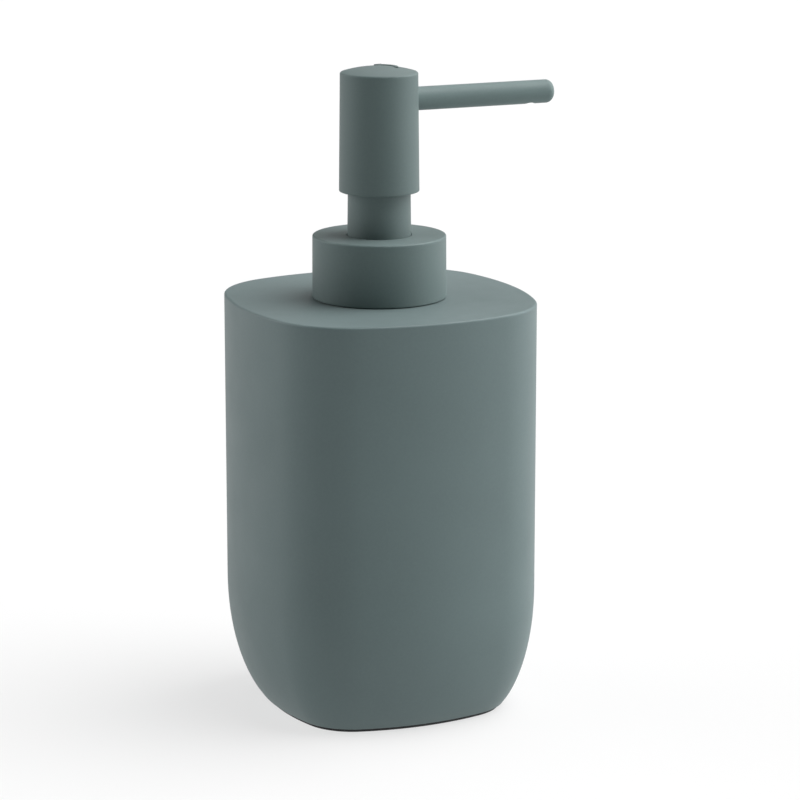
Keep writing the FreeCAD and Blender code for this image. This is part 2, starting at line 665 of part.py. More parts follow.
def dip_tube():
    """The dip tube, cut at an angle at its tip so that it cannot seal on the floor."""
    body = new_part("dip_tube")
    top = INLET_FOOT - dim.fit_gap
    turned(body, [(dim.tube_bore, TUBE_FOOT), (dim.tube_radius, TUBE_FOOT), (dim.tube_radius, top),
                  (dim.tube_bore, top)])
    tip = new_sketch(body)
    reach = dim.tube_radius + PAST
    rise = reach * 2 * math.tan(math.radians(dim.tube_cut.value))
    polygon(tip, [(-reach, TUBE_FOOT), (-reach, TUBE_FOOT - PAST), (reach, TUBE_FOOT - PAST),
                  (reach, TUBE_FOOT + rise)])
    cut = body.newObject("PartDesign::Pocket", "dip_tube_cut")
    cut.Profile = tip
    cut.Midplane = True
    cut.setExpression("Length", (reach * 2).text)
    finish(body, cut)


def return_spring():
    """The return spring: a round wire swept along a helix between the cage and the stem's foot."""
    body = new_part("return_spring")
    foot = CAGE_TOP + dim.spring_wire + dim.spring_gap
    top = SHANK_FOOT - dim.spring_wire - dim.spring_gap
    wire = new_sketch(body)
    circle(wire, dim.cylinder_bore - dim.spring_inset, foot, dim.spring_wire)
    helix = body.newObject("PartDesign::AdditiveHelix", "return_spring_coil")
    helix.Profile = wire
    helix.ReferenceAxis = (wire, ["V_Axis"])
    helix.Mode = 0
    helix.setExpression("Pitch", ((top - foot) / dim.spring_turns).text)
    helix.setExpression("Height", (top - foot).text)
    finish(body, helix)


# ---------------------------------------------------------------- plunger

def upper_stem():
    """The tube between piston and head, with the shoulder that stops under the chaplet."""
    body = new_part("upper_stem")
    shoulder = dim.cylinder_bore - dim.stem_shoulder
    turned(body, [(dim.stem_bore, SHOULDER_FOOT), (shoulder, SHOULDER_FOOT), (shoulder, SHOULDER_TOP),
                  (dim.stem_radius, SHOULDER_TOP), (dim.stem_radius, STEM_TOP), (dim.stem_bore, STEM_TOP)])


def piston_stem():
    """The lower stem: a foot that the seal closes against, with ports into a hollow shank."""
    body = new_part("piston_stem")
    top = SHOULDER_FOOT + dim.shank_grip
    foot = dim.cylinder_bore - dim.shank_foot
    turned(body, [(0, SHANK_FOOT), (foot, SHANK_FOOT), (foot, SHANK_DECK),
                  (SHANK_RADIUS, SHANK_DECK), (SHANK_RADIUS, top), (dim.shank_bore, top),
                  (dim.shank_bore, SHANK_DECK), (0, SHANK_DECK)])
    level = SHANK_DECK + dim.shank_port + dim.fit_gap
    port = drilled(body, "YZ_Plane", 0, level, dim.shank_port, SHANK_RADIUS + PAST, back=True)
    around(body, port, dim.shank_ports)


def piston_seal():
    """The sliding seal: two lips against the cylinder, waisted between them."""
    body = new_part("piston_seal")
    inner = SHANK_RADIUS + dim.seal_play
    outer = dim.cylinder_bore - dim.seal_play
    waist = outer - dim.seal_waist
    low = SEAL_FOOT + dim.seal_lip
    high = SEAL_TOP - dim.seal_lip
    turned(body, [(inner, SEAL_FOOT), (outer, SEAL_FOOT), (outer, low), (waist, low + dim.seal_waist),
                  (waist, high - dim.seal_waist), (outer, high), (outer, SEAL_TOP), (inner, SEAL_TOP)])


# ---------------------------------------------------------------- head

def head_shell():
    """The outer shell of the head: open below, a domed top, the nozzle's hole and a turning arrow."""
    body = new_part("head_shell")
    rim_radius = dim.head_radius + dim.head_draft
    ceiling = HEAD_TOP - dim.head_roof
    turned(body, [(rim_radius - dim.head_wall, HEAD_RIM), (rim_radius, HEAD_RIM),
                  (dim.head_radius, HEAD_TOP), (0, HEAD_TOP), (0, ceiling),
                  (dim.head_radius - dim.head_wall, ceiling)])
    shell = domed(body, dim.head_radius, HEAD_TOP, dim.head_dome)
    rounded(body, shell, rim_at(dim.head_radius, HEAD_TOP), dim.head_round)
    drilled(body, "YZ_Plane", 0, NOZZLE_AXIS, dim.nozzle_radius + dim.fit_gap, rim_radius + PAST, back=True)
    turning_arrow(body)


def turning_arrow(body):
    """A plain curved arrow in low relief: a band round the middle, and a triangle at its end."""
    foot = HEAD_TOP - SUNK
    ball = (dim.head_radius * dim.head_radius + dim.head_dome * dim.head_dome) / (dim.head_dome * 2)
    fall = ball - (ball * ball - dim.mark_radius * dim.mark_radius).root()
    top = HEAD_TOP + dim.head_dome - fall + dim.mark_height
    inner = dim.mark_radius - dim.mark_width / 2
    outer = dim.mark_radius + dim.mark_width / 2
    turned(body, [(inner, foot), (outer, foot), (outer, top), (inner, top)],
           sweep=dim.mark_sweep, turn=dim.mark_turn)
    end = dim.mark_turn + dim.mark_sweep / 2
    out, along = cosine(end), sine(end)
    barb = new_sketch(body, "XY_Plane", foot)
    corners = []
    for away, ahead in ((dim.mark_radius - dim.mark_barb, -dim.mark_back),
                        (dim.mark_radius + dim.mark_barb, -dim.mark_back),
                        (dim.mark_radius, dim.mark_tip)):
        corners.append((away * out - ahead * along, away * along + ahead * out))
    polygon(barb, corners)
    pad = body.newObject("PartDesign::Pad", "head_shell_barb")
    pad.Profile = barb
    pad.setExpression("Length", (top - foot).text)
    finish(body, pad)


def head_core():
    """The plastic core of the head: a socket for the stem and a channel out to the nozzle."""
    body = new_part("head_core")
    radius = dim.head_radius - dim.head_wall - dim.fit_gap
    socket = dim.stem_radius + dim.seal_play
    socket_top = STEM_TOP + dim.fit_gap
    turned(body, [(socket, CORE_FOOT), (radius, CORE_FOOT), (radius, CORE_TOP), (0, CORE_TOP),
                  (0, NOZZLE_AXIS), (dim.core_channel, NOZZLE_AXIS), (dim.core_channel, socket_top),
                  (socket, socket_top)])
    drilled(body, "YZ_Plane", 0, NOZZLE_AXIS, dim.nozzle_bore, dim.nozzle_root + PAST, back=True)
    drilled(body, "YZ_Plane", 0, NOZZLE_AXIS, dim.nozzle_radius + dim.fit_gap, radius,
            offset=dim.nozzle_root - dim.fit_gap, back=True)


def nozzle_tube():
    """The nozzle: a straight tube, closed and rounded at its tip, with the outlet underneath."""
    body = new_part("nozzle_tube")
    sketch = new_sketch(body, "YZ_Plane", dim.nozzle_root)
    circle(sketch, 0, NOZZLE_AXIS, dim.nozzle_radius)
    pad = body.newObject("PartDesign::Pad", "nozzle_tube_rod")
    pad.Profile = sketch
    pad.setExpression("Length", (dim.nozzle_reach - dim.nozzle_root).text)
    rod = finish(body, pad)
    rounded(body, rod, lambda edge: abs(edge.BoundBox.XMin - dim.nozzle_reach.value) < 1e-4,
            dim.nozzle_round)
    drilled(body, "YZ_Plane", 0, NOZZLE_AXIS, dim.nozzle_bore,
            dim.nozzle_reach - dim.nozzle_root - dim.nozzle_end, offset=dim.nozzle_root, back=True)
    drilled(body, "XY_Plane", dim.nozzle_reach - dim.outlet_back, 0, dim.outlet_radius,
            dim.nozzle_radius * 2, offset=NOZZLE_AXIS)


# ---------------------------------------------------------------- build, check, write

def build():
    bottle_body()
    neck_insert()
    base_pad()
    collar_shell()
    screw_cap()
    ring("neck_gasket", NECK_BORE, dim.neck_radius + dim.gasket_margin, NECK_RIM + dim.seat_gap, FLANGE_FOOT)
    pump_housing()
    ring("inner_gasket", dim.cylinder_bore, CHAPLET_FLANGE, FLANGE_TOP, CHAPLET_SEAT)
    chaplet()
    chimney_sleeve()
    ball_cage()
    inlet_ball()
    dip_tube()
    return_spring()
    upper_stem()
    piston_stem()
    piston_seal()
    head_shell()
    head_core()
    nozzle_tube()


def check():
    """Stop if any object failed or any sub-part has no valid solid."""
    doc.recompute()
    for item in doc.Objects:
        if "Invalid" in item.State or "Error" in item.State:
            raise RuntimeError("%s is %s" % (item.Label, item.State))
    for body in PARTS:
        shape = body.Shape
        if shape.isNull() or not shape.isValid() or not shape.Solids:
            raise RuntimeError("%s has no valid solid" % body.Label)
        box = shape.BoundBox
        print("%-16s %9.1f mm3  x %6.1f %6.1f  y %6.1f %6.1f  z %6.1f %6.1f"
              % (body.Label, shape.Volume, box.XMin, box.XMax, box.YMin, box.YMax, box.ZMin, box.ZMax))


def write():
    os.makedirs("parts", exist_ok=True)
    for body in PARTS:
        body.Shape.exportStep(os.path.join("parts", body.Label + ".step"))


build()
check()
write()
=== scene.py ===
"""Looks of a soap pump dispenser: a rounded-square bottle, its collar, chimney and pump head.

The visible shells are surfaces worked out with numpy at the sizes of the solid
model. The inner pieces keep the solid model's meshes and get better finishes.
Lengths are metres, Z is up, and the nozzle points along +X.
"""
import math

import bmesh
import bpy
import numpy as np
from bpy.props import FloatProperty, FloatVectorProperty, IntProperty, PointerProperty
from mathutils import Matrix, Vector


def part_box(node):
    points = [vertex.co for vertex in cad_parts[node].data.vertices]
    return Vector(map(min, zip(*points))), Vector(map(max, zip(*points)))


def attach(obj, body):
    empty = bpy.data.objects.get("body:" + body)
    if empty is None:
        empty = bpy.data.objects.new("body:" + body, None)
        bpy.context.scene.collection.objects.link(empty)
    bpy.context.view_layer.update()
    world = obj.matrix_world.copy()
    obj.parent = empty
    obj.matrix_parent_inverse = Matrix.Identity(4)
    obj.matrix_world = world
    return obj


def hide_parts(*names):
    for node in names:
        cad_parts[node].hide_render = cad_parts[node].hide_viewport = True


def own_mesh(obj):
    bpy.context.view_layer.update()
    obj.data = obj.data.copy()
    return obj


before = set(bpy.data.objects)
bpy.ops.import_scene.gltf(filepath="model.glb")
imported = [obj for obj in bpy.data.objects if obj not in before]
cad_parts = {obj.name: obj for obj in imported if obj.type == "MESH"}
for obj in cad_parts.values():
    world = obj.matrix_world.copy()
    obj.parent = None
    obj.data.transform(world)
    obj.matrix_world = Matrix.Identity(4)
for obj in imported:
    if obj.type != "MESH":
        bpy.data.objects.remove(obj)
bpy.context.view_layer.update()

bl_info = {
    "name": "Soap pump dispenser",
    "version": (1, 0, 0),
    "blender": (4, 5, 0),
    "location": "View3D > Sidebar > Dispenser",
    "description": "Builds the shells, finishes and stage of a soap pump dispenser",
    "category": "Object",
}

MM = 0.001
CORNER_STEPS = 6  # Parts of the arc at a rounded corner.
HEAD_COLUMNS = 128  # Points around the head.
HOLE_ROWS, HOLE_COLUMNS = 16, 18  # Faces left open in each of the head's walls for the nozzle's hole.
NOZZLE_COLUMNS = 64  # Points around the nozzle.
BORE_BLOCK, SHAFT_BLOCK = (34, 62), (40, 56)  # Columns left open under the nozzle, inside and outside.
HOLE_RINGS = 6  # Rings of faces between a hole and the block of faces around it.
BESIDE_ROUND, BESIDE_RUN = 0.8, 0.3  # Most that a point beside an arc stands off, as shares.


def top_of(node):
    """Height of the highest point of a solid."""
    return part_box(node)[1].z


def foot_of(node):
    """Height of the lowest point of a solid."""
    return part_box(node)[0].z


# ---------------------------------------------------------------- sizes and finishes

def length(name, value, about):
    """A length property, in metres."""
    return FloatProperty(name=name, description=about, default=value, min=0.0, unit="LENGTH",
                         precision=5)


def tint(name, value, about):
    """A colour property, in linear light."""
    return FloatVectorProperty(name=name, description=about, default=value, size=3,
                               min=0.0, max=1.0, subtype="COLOR")


def amount(name, value, about, high=1.0):
    """A plain number, from nothing to its highest value."""
    return FloatProperty(name=name, description=about, default=value, min=0.0, max=high,
                         subtype="FACTOR" if high == 1.0 else "NONE")


class DispenserBottle(bpy.types.PropertyGroup):
    """Sizes of the bottle."""
    foot: length("Foot", foot_of("bottle_body"), "Height of the base above the surface")
    top: length("Top", top_of("bottle_body"), "Height of the flat top")
    width: length("Width", 80 * MM, "Across two opposite sides")
    side: length("Side radius", 75 * MM, "Plan radius of each gently curved side")
    corner: length("Corner radius", 24 * MM, "Plan radius of each rounded corner")
    foot_height: length("Foot height", 32.4 * MM, "Height over which the sides come in")
    foot_across: length("Foot across", 15.4 * MM, "Half width of the ellipse that they follow")
    foot_deep: length("Foot depth", 36.4 * MM, "Half height of that ellipse")
    wall: length("Wall", 4 * MM, "Thickness of the side wall")
    floor: length("Floor", 5 * MM, "Thickness of the floor")
    roof: length("Roof", 6 * MM, "Thickness of the roof")
    top_round: length("Top round", 0.6 * MM, "Round along the top edge")
    foot_round: length("Foot round", 0.5 * MM, "Round along the bottom edge")
    mouth: length("Mouth", 12.8 * MM, "Radius of the mouth that holds the neck")
    ledge: length("Ledge", 16.3 * MM, "Radius of the sunk ledge around the mouth")
    ledge_depth: length("Ledge depth", 2.1 * MM, "Depth of that ledge")
    columns: IntProperty(name="Columns", description="Points around the plan outline",
                         default=288, min=16, max=480)


class DispenserPump(bpy.types.PropertyGroup):
    """Sizes of the collar, the chimney, the head, the nozzle and the spring."""
    collar_radius: length("Collar radius", 18.2 * MM, "Outside of the collar at its foot")
    collar_draft: length("Collar draft", 0.1 * MM, "How much smaller it is at its top")
    collar_bore: length("Collar bore", 16.7 * MM, "Inside of the collar")
    collar_roof: length("Collar roof", 1.6 * MM, "Thickness of the collar's top")
    collar_hole: length("Collar hole", 8.74 * MM, "Hole in the collar's top")
    collar_hang: length("Collar hang", 0.12 * MM, "Drop of the cover below the collar's solid")
    collar_round: length("Collar round", 0.45 * MM, "Round along the collar's top edge")
    chimney_radius: length("Chimney radius", 8.65 * MM, "Outside of the chimney at its foot")
    chimney_draft: length("Chimney draft", 0.22 * MM, "How much smaller it is at its top")
    chimney_bore: length("Chimney bore", 6.95 * MM, "Inside of the chimney")
    chimney_lip: length("Chimney lip", 0.7 * MM, "Lip over the guide tube")
    chimney_hole: length("Chimney hole", 4.1 * MM, "Hole in that lip")
    head_radius: length("Head radius", 10.5 * MM, "Outside of the head at its top")
    head_draft: length("Head draft", 0.35 * MM, "How much larger it is at its rim")
    head_height: length("Head height", 32 * MM, "Height of the head's wall")
    head_dome: length("Head dome", 1.6 * MM, "Rise of the domed top above the wall")
    head_wall: length("Head wall", 0.9 * MM, "Thickness of the head's side")
    head_roof: length("Head roof", 1.2 * MM, "Thickness of the head's top")
    head_round: length("Head round", 0.6 * MM, "Round along the head's top edge")
    mark_radius: length("Arrow radius", 4.6 * MM, "Middle radius of the turning arrow")
    mark_width: length("Arrow width", 1.1 * MM, "Width of the arrow's band")
    mark_height: length("Arrow height", 0.25 * MM, "Height of the arrow's relief")
    mark_barb: length("Arrow barb", 1.5 * MM, "Half width of the arrow's barbs")
    mark_tip: length("Arrow tip", 1.95 * MM, "Arrow's tip beyond the end of its band")
    mark_sweep: FloatProperty(name="Arrow sweep", description="Angle that the band covers",
                              default=math.radians(90), subtype="ANGLE")
    mark_turn: FloatProperty(name="Arrow turn", default=math.radians(15), subtype="ANGLE",
                             description="Turn of the band's middle from the nozzle")
    nozzle_drop: length("Nozzle drop", 7.65 * MM, "Nozzle's axis below the head's top")
    nozzle_radius: length("Nozzle radius", 3.2 * MM, "Outside of the nozzle")
    nozzle_bore: length("Nozzle bore", 1.6 * MM, "Inside of the nozzle")
    nozzle_gap: length("Nozzle gap", 0.05 * MM, "Gap around the nozzle in the head")
    nozzle_round: length("Nozzle round", 2.0 * MM, "Round at the nozzle's tip")
    nozzle_end: length("Nozzle end", 2.6 * MM, "Closed end beyond the bore")
    outlet_back: length("Outlet back", 6.9 * MM, "Outlet hole's axis behind the tip")
    outlet_radius: length("Outlet radius", 1.5 * MM, "Radius of the outlet hole")
    edge_round: length("Edge round", 0.25 * MM, "Round along the moulded edges")
    spring_radius: length("Spring radius", 4.1 * MM, "Mean radius of the return spring")
    spring_wire: length("Spring wire", 0.45 * MM, "Radius of its wire")
    spring_turns: FloatProperty(name="Spring turns", description="Turns of the return spring",
                                default=8.0, min=1.0, max=40.0)
    spring_keep: amount("Spring pressed", 0.44, "Share of its length left when pressed home")
    columns: IntProperty(name="Columns", description="Points around the collar and the chimney",
                         default=192, min=16, max=360)


class DispenserFinish(bpy.types.PropertyGroup):
    """Colours and surface detail of the finishes."""
    shell: tint("Shell", (0.088, 0.128, 0.126), "Soft-touch grey green of the shells")
    # Painted light and shade: the collar and the nozzle get a lighter copy of the shells' colour, and
    # the chimney and the head a darker copy, standing in for how the light falls on each piece.
    collar_painted_light: amount("Collar shade", 1.03, "Lightness beside the shells' colour", 2.0)
    chimney_painted_shade: amount("Chimney shade", 0.92, "Lightness beside the shells' colour", 2.0)
    head_painted_shade: amount("Head shade", 0.91, "Lightness beside the shells' colour", 2.0)
    nozzle_painted_light: amount("Nozzle shade", 1.2, "Lightness beside the shells' colour", 2.0)
    resin: tint("Resin", (0.095, 0.135, 0.136), "Soft-touch grey green of the bottle")
    plastic: tint("Moulded plastic", (0.62, 0.63, 0.60), "Natural white of the pump's plastic")
    dark: tint("Dark plastic", (0.10, 0.115, 0.115), "Grey of the cap, chaplet and head core")
    tube: tint("Tube", (0.72, 0.74, 0.72), "Milky plastic of the dip tube")
    foam: tint("Gasket foam", (0.55, 0.55, 0.52), "Closed-cell foam of the gaskets")
    pad: tint("Pad foam", (0.030, 0.032, 0.033), "Dark foam under the base")
    seal: tint("Seal", (0.50, 0.52, 0.50), "Soft plastic of the piston seal")
    steel: tint("Steel", (0.56, 0.56, 0.55), "Stainless steel of the ball and the spring")
    roughness: amount("Roughness", 0.56, "Roughness of the soft-touch coat")
    grain: amount("Grain", 0.22, "Strength of the fine grain in the coat")
    grain_size: length("Grain size", 0.35 * MM, "Size of the fine grain")
    sheen: amount("Sheen", 0.06, "Soft bloom of the coat at glancing angles")


class DispenserStage(bpy.types.PropertyGroup):
    """The camera, the floor and the lights."""
    azimuth: FloatProperty(name="Azimuth", description="Turn of the camera round the object",
                           default=math.radians(-23.41), subtype="ANGLE")
    away: length("Distance", 0.87414, "Level distance from the object's axis to the camera")
    height: length("Height", 0.28531, "Height of the camera above the surface")
    aside: length("Aside", 0.0056, "How far the camera stands to the right of the axis")
    pitch: FloatProperty(name="Pitch", description="How far the camera looks down",
                         default=math.radians(12.96), subtype="ANGLE")
    lens: FloatProperty(name="Lens", description="Focal length", default=147.72, unit="CAMERA")
    floor: tint("Floor", (0.20, 0.20, 0.20), "Pale floor")
    glow: FloatProperty(name="Glow", description="Light that the floor gives from below",
                        default=0.67, min=0.0)
    floor_radius: length("Floor radius", 8.0, "How far the floor reaches")
    world: tint("Backdrop", (1.0, 1.0, 1.0), "White backdrop, which lights nothing")


# Lights: name, turn from the camera's side towards the right, height angle, width, strength.
LIGHTS = (
    ("right_low", 100.0, 10.0, 70.0, 2.95),
    ("right_near", 80.0, 10.0, 60.0, 0.72),
    ("right_high", 95.0, 62.0, 50.0, 3.37),
    ("left_low", -100.0, 10.0, 70.0, 2.19),
    ("left_high", -100.0, 45.0, 70.0, 0.22),
    ("back_high", 160.0, 45.0, 60.0, 0.95),
)


# ---------------------------------------------------------------- shapes

class Shape:
    """Collects the points and faces of one piece, with the points in order, so that rings join."""

    def __init__(self):
        """Starts with no points and no faces."""
        self.points = []
        self.edge = []
        self.faces = []
        self.count = 0

    def add(self, points, edge=None):
        """Adds a grid of points and returns their numbers in the same grid."""
        points = np.asarray(points, float)
        size = int(np.prod(points.shape[:-1]))
        self.points.append(points.reshape(-1, 3))
        worn = np.broadcast_to(0.0 if edge is None else edge, points.shape[:-1])
        self.edge.append(worn.reshape(-1))
        numbers = np.arange(self.count, self.count + size).reshape(points.shape[:-1])
        self.count += size
        return numbers

    def join(self, numbers, holes=()):
        """Quads between neighbouring rows and columns; the last column meets the first.
        Each hole is (first row, last row, first column, last column) of a block left open."""
        after = np.roll(numbers, -1, 1)
        quads = np.stack([numbers[:-1], after[:-1], after[1:], numbers[1:]], -1)
        keep = np.ones(quads.shape[:2], bool)
        for row, last_row, column, last_column in holes:
            keep[row:last_row, column:last_column] = False
        self.faces += quads[keep].tolist()

    def close(self, ring, centre):
        """Closes a ring with triangles to one point at its middle."""
        pole = self.add(np.asarray(centre, float)[None])[0]
        after = np.roll(ring, -1)
        self.faces += np.stack([ring, after, np.full(len(ring), pole)], -1).tolist()

    def piece(self, name):
        """Makes the mesh object, with its faces turned outwards and shaded smooth."""
        mesh = bpy.data.meshes.new(name)
        mesh.from_pydata(np.concatenate(self.points).tolist(), [], self.faces)
        worn = mesh.attributes.new("edge_wear", "FLOAT", "POINT")
        worn.data.foreach_set("value", np.concatenate(self.edge).astype(np.float32))
        work = bmesh.new()
        work.from_mesh(mesh)
        if any(not edge.is_manifold for edge in work.edges):
            raise RuntimeError(f"{name} isn't closed")
        bmesh.ops.recalc_face_normals(work, faces=work.faces)
        work.to_mesh(mesh)
        work.free()
        mesh.polygons.foreach_set("use_smooth", [True] * len(mesh.polygons))
        mesh.update()
        made = bpy.data.objects.new(name, mesh)
        bpy.context.scene.collection.objects.link(made)
        return made


def arc_points(steps=CORNER_STEPS):
    """How many points profile() puts at a rounded corner: the arc's, and one on each side of it."""
    return steps + 3


def profile(corners, loop=False, steps=CORNER_STEPS):
    """A profile through corners (across, up, round). Each round is the arc that touches both runs:
    it starts round * tan(half the turn) before the corner, and a point on it is
    start + round * (sin t * run in + (1 - cos t) * the way it turns). Each arc has one more
    point a little before and after it, which keeps the flat runs flat in smooth shading.
    Returns the points and how much of an outside edge each of them is."""
    corners = np.asarray(corners, float)
    last = len(corners) - 1
    points, edge = [], []
    for at, (across, up, radius) in enumerate(corners):
        here = np.array([across, up])
        if radius == 0 or (not loop and at in (0, last)):
            points.append(here[None])
            edge.append([0.0])
            continue
        before = here - corners[at - 1, :2]
        after = corners[(at + 1) % len(corners), :2] - here
        room = min(np.hypot(*before), np.hypot(*after))
        before, after = before / np.hypot(*before), after / np.hypot(*after)
        cross = before[0] * after[1] - before[1] * after[0]
        turn = math.atan2(abs(cross), before @ after)
        reach = radius * math.tan(turn / 2)
        way = np.array([-before[1], before[0]]) * math.copysign(1.0, cross)
        t = np.linspace(0, turn, steps + 1)[:, None]
        start = here - before * reach
        arc = start + radius * (np.sin(t) * before + (1 - np.cos(t)) * way)
        beside = min(radius * BESIDE_ROUND, max(room - reach, 0) * BESIDE_RUN)
        points.append(np.vstack([start - before * beside, arc, here + after * (reach + beside)]))
        outside = 1.0 if cross > 0 else 0.0
        wear = outside * np.sin(np.linspace(0, math.pi, steps + 1))
        edge.append(np.concatenate([[0.0], wear, [0.0]]))
    return np.vstack(points), np.concatenate(edge)


def spaced(points, edge, gap):
    """Divides each run longer than gap into equal parts."""
    runs = np.hypot(*np.diff(points, axis=0).T)
    parts = np.maximum(1, np.ceil(runs / gap - 1e-9)).astype(int)
    share = np.concatenate([np.arange(n) / n + at for at, n in enumerate(parts)] + [[len(parts)]])
    whole = np.arange(len(points))
    across, up, worn = (np.interp(share, whole, values) for values in (points[:, 0], points[:, 1], edge))
    return np.stack([across, up], 1), worn


def spun(points, columns, turn=0.0):
    """Surface of revolution about Z: (across cos t, across sin t, up) for t all the way round."""
    t = turn + np.arange(columns) * 2 * math.pi / columns
    across, up = points[:, :1], points[:, 1:]
    return np.stack([across * np.cos(t), across * np.sin(t), up + 0 * t], -1)


def ring_piece(name, corners, columns, gap):
    """A closed ring: a rounded profile that meets itself, turned about Z."""
    points, edge = profile(corners, loop=True)
    points, edge = spaced(np.vstack([points, points[:1]]), np.append(edge, edge[0]), gap)
    shape = Shape()
    numbers = shape.add(spun(points[:-1], columns), edge[:-1, None])
    shape.join(np.vstack([numbers, numbers[:1]]))
    return shape.piece(name)


def plan(width, side, corner, columns):
    """Plan of the bottle: four gently curved sides joined by four tangent corner arcs.
    A corner's centre lies on the diagonal at k, where
    (k + side - width/2)^2 + k^2 = (side - corner)^2.
    Points are evenly spaced along the outline. Returns them, their outward normals and their
    bearings."""
    half = width / 2
    back, reach = side - half, side - corner
    k = (math.sqrt(2 * reach ** 2 - back ** 2) - back) / 2
    alpha = math.atan2(k, k + back)
    flank, bend = side * alpha, corner * (math.pi / 2 - 2 * alpha)
    quarter = 2 * flank + bend
    run = np.arange(columns) * 4 * quarter / columns
    turns, s = np.divmod(run, quarter)
    first, middle = s < flank, (s >= flank) & (s < flank + bend)
    phi = np.where(first, s / side, np.where(middle, alpha + (s - flank) / corner,
                                             math.pi / 2 - alpha + (s - flank - bend) / side))
    radius = np.where(middle, corner, side)
    x = np.where(first, -back, np.where(middle, k, 0)) + radius * np.cos(phi)
    y = np.where(first, 0, np.where(middle, k, -back)) + radius * np.sin(phi)
    c, n = np.cos(turns * math.pi / 2), np.sin(turns * math.pi / 2)
    points = np.stack([x * c - y * n, x * n + y * c], -1)
    phi = phi + turns * math.pi / 2
    return points, np.stack([np.cos(phi), np.sin(phi)], -1), np.arctan2(points[:, 1], points[:, 0])


def sections(outline, rows):
    """Level sections of the bottle. Each row is (inset, radius, blend, up): the outline moved
    inwards along its normals by inset, mixed by blend with a circle of that radius at the same
    bearings."""
    points, normals, bearings = outline
    inset, radius, blend, up = (rows[:, i][:, None, None] for i in range(4))
    moved = points - inset * normals
    circle = radius * np.stack([np.cos(bearings), np.sin(bearings)], -1)
    flat = moved * (1 - blend) + circle * blend
    return np.concatenate([flat, np.broadcast_to(up, flat.shape[:2] + (1,))], -1)


def square_rows(points):
    """Rows of the outline moved inwards by the profile's first number."""
    return np.stack([points[:, 0], 0 * points[:, 0], 0 * points[:, 0], points[:, 1]], -1)


def round_rows(points):
    """Rows that are circles of the profile's first number."""
    return np.stack([0 * points[:, 0], points[:, 0], 0 * points[:, 0] + 1, points[:, 1]], -1)


def blend_rows(inset, radius, share, up):
    """Rows between the outline moved inwards by inset and a circle, mixed by share at one level."""
    return np.stack([np.full(len(share), inset), np.full(len(share), radius), share,
                     np.full(len(share), up)], -1)


def foot_curve(depth, across, deep):
    """How far the side has come in, depth below the level where it starts to: a part of an
    ellipse that is upright there, across * (1 - sqrt(1 - (depth / deep)^2))."""
    return across * (1 - np.sqrt(1 - (np.clip(depth, 0, deep) / deep) ** 2))


def pierce(shape, block, lift, centre, radius):
    """Fills a block left open in a wall with rings that shrink evenly from the block's edge to a
    round hole. centre lies in the plane across the hole, and lift(across, up) puts a point of that
    plane on the wall. Returns the numbers of the hole's ring, and the directions of its points."""
    numbers, flat = block
    edge, rim = (np.concatenate([grid[0, :-1], grid[:-1, -1], grid[-1, :0:-1], grid[:0:-1, 0]])
                 for grid in (numbers, flat))
    middle = numbers.shape[1] - 1 + (numbers.shape[0] - 1) // 2
    edge, rim = np.roll(edge, -middle), np.roll(rim, -middle, 0)
    start = rim[0] - centre
    spin = math.atan2(start[1], start[0])
    ahead = rim[len(rim) // 8] - centre
    way = math.copysign(1.0, start[0] * ahead[1] - start[1] * ahead[0])
    t = spin + way * np.arange(len(rim)) * 2 * math.pi / len(rim)
    circle = np.stack([np.cos(t), np.sin(t)], -1)
    share = np.linspace(0, 1, HOLE_RINGS + 1)[1:, None, None]
    rings = rim * (1 - share) + (centre + radius * circle) * share
    made = shape.add(lift(rings[..., 0], rings[..., 1]))
    shape.join(np.vstack([edge[None], made]))
    return made[-1], circle


def lined_up(inner, outer):
    """Which point of the inner circle is nearest in direction to each point of the outer one."""
    angles, others = (np.angle(circle @ np.array([1, 1j])) for circle in (inner, outer))
    return np.abs(np.angle(np.exp(1j * (angles - others[:, None])))).argmin(1)


# ---------------------------------------------------------------- finishes

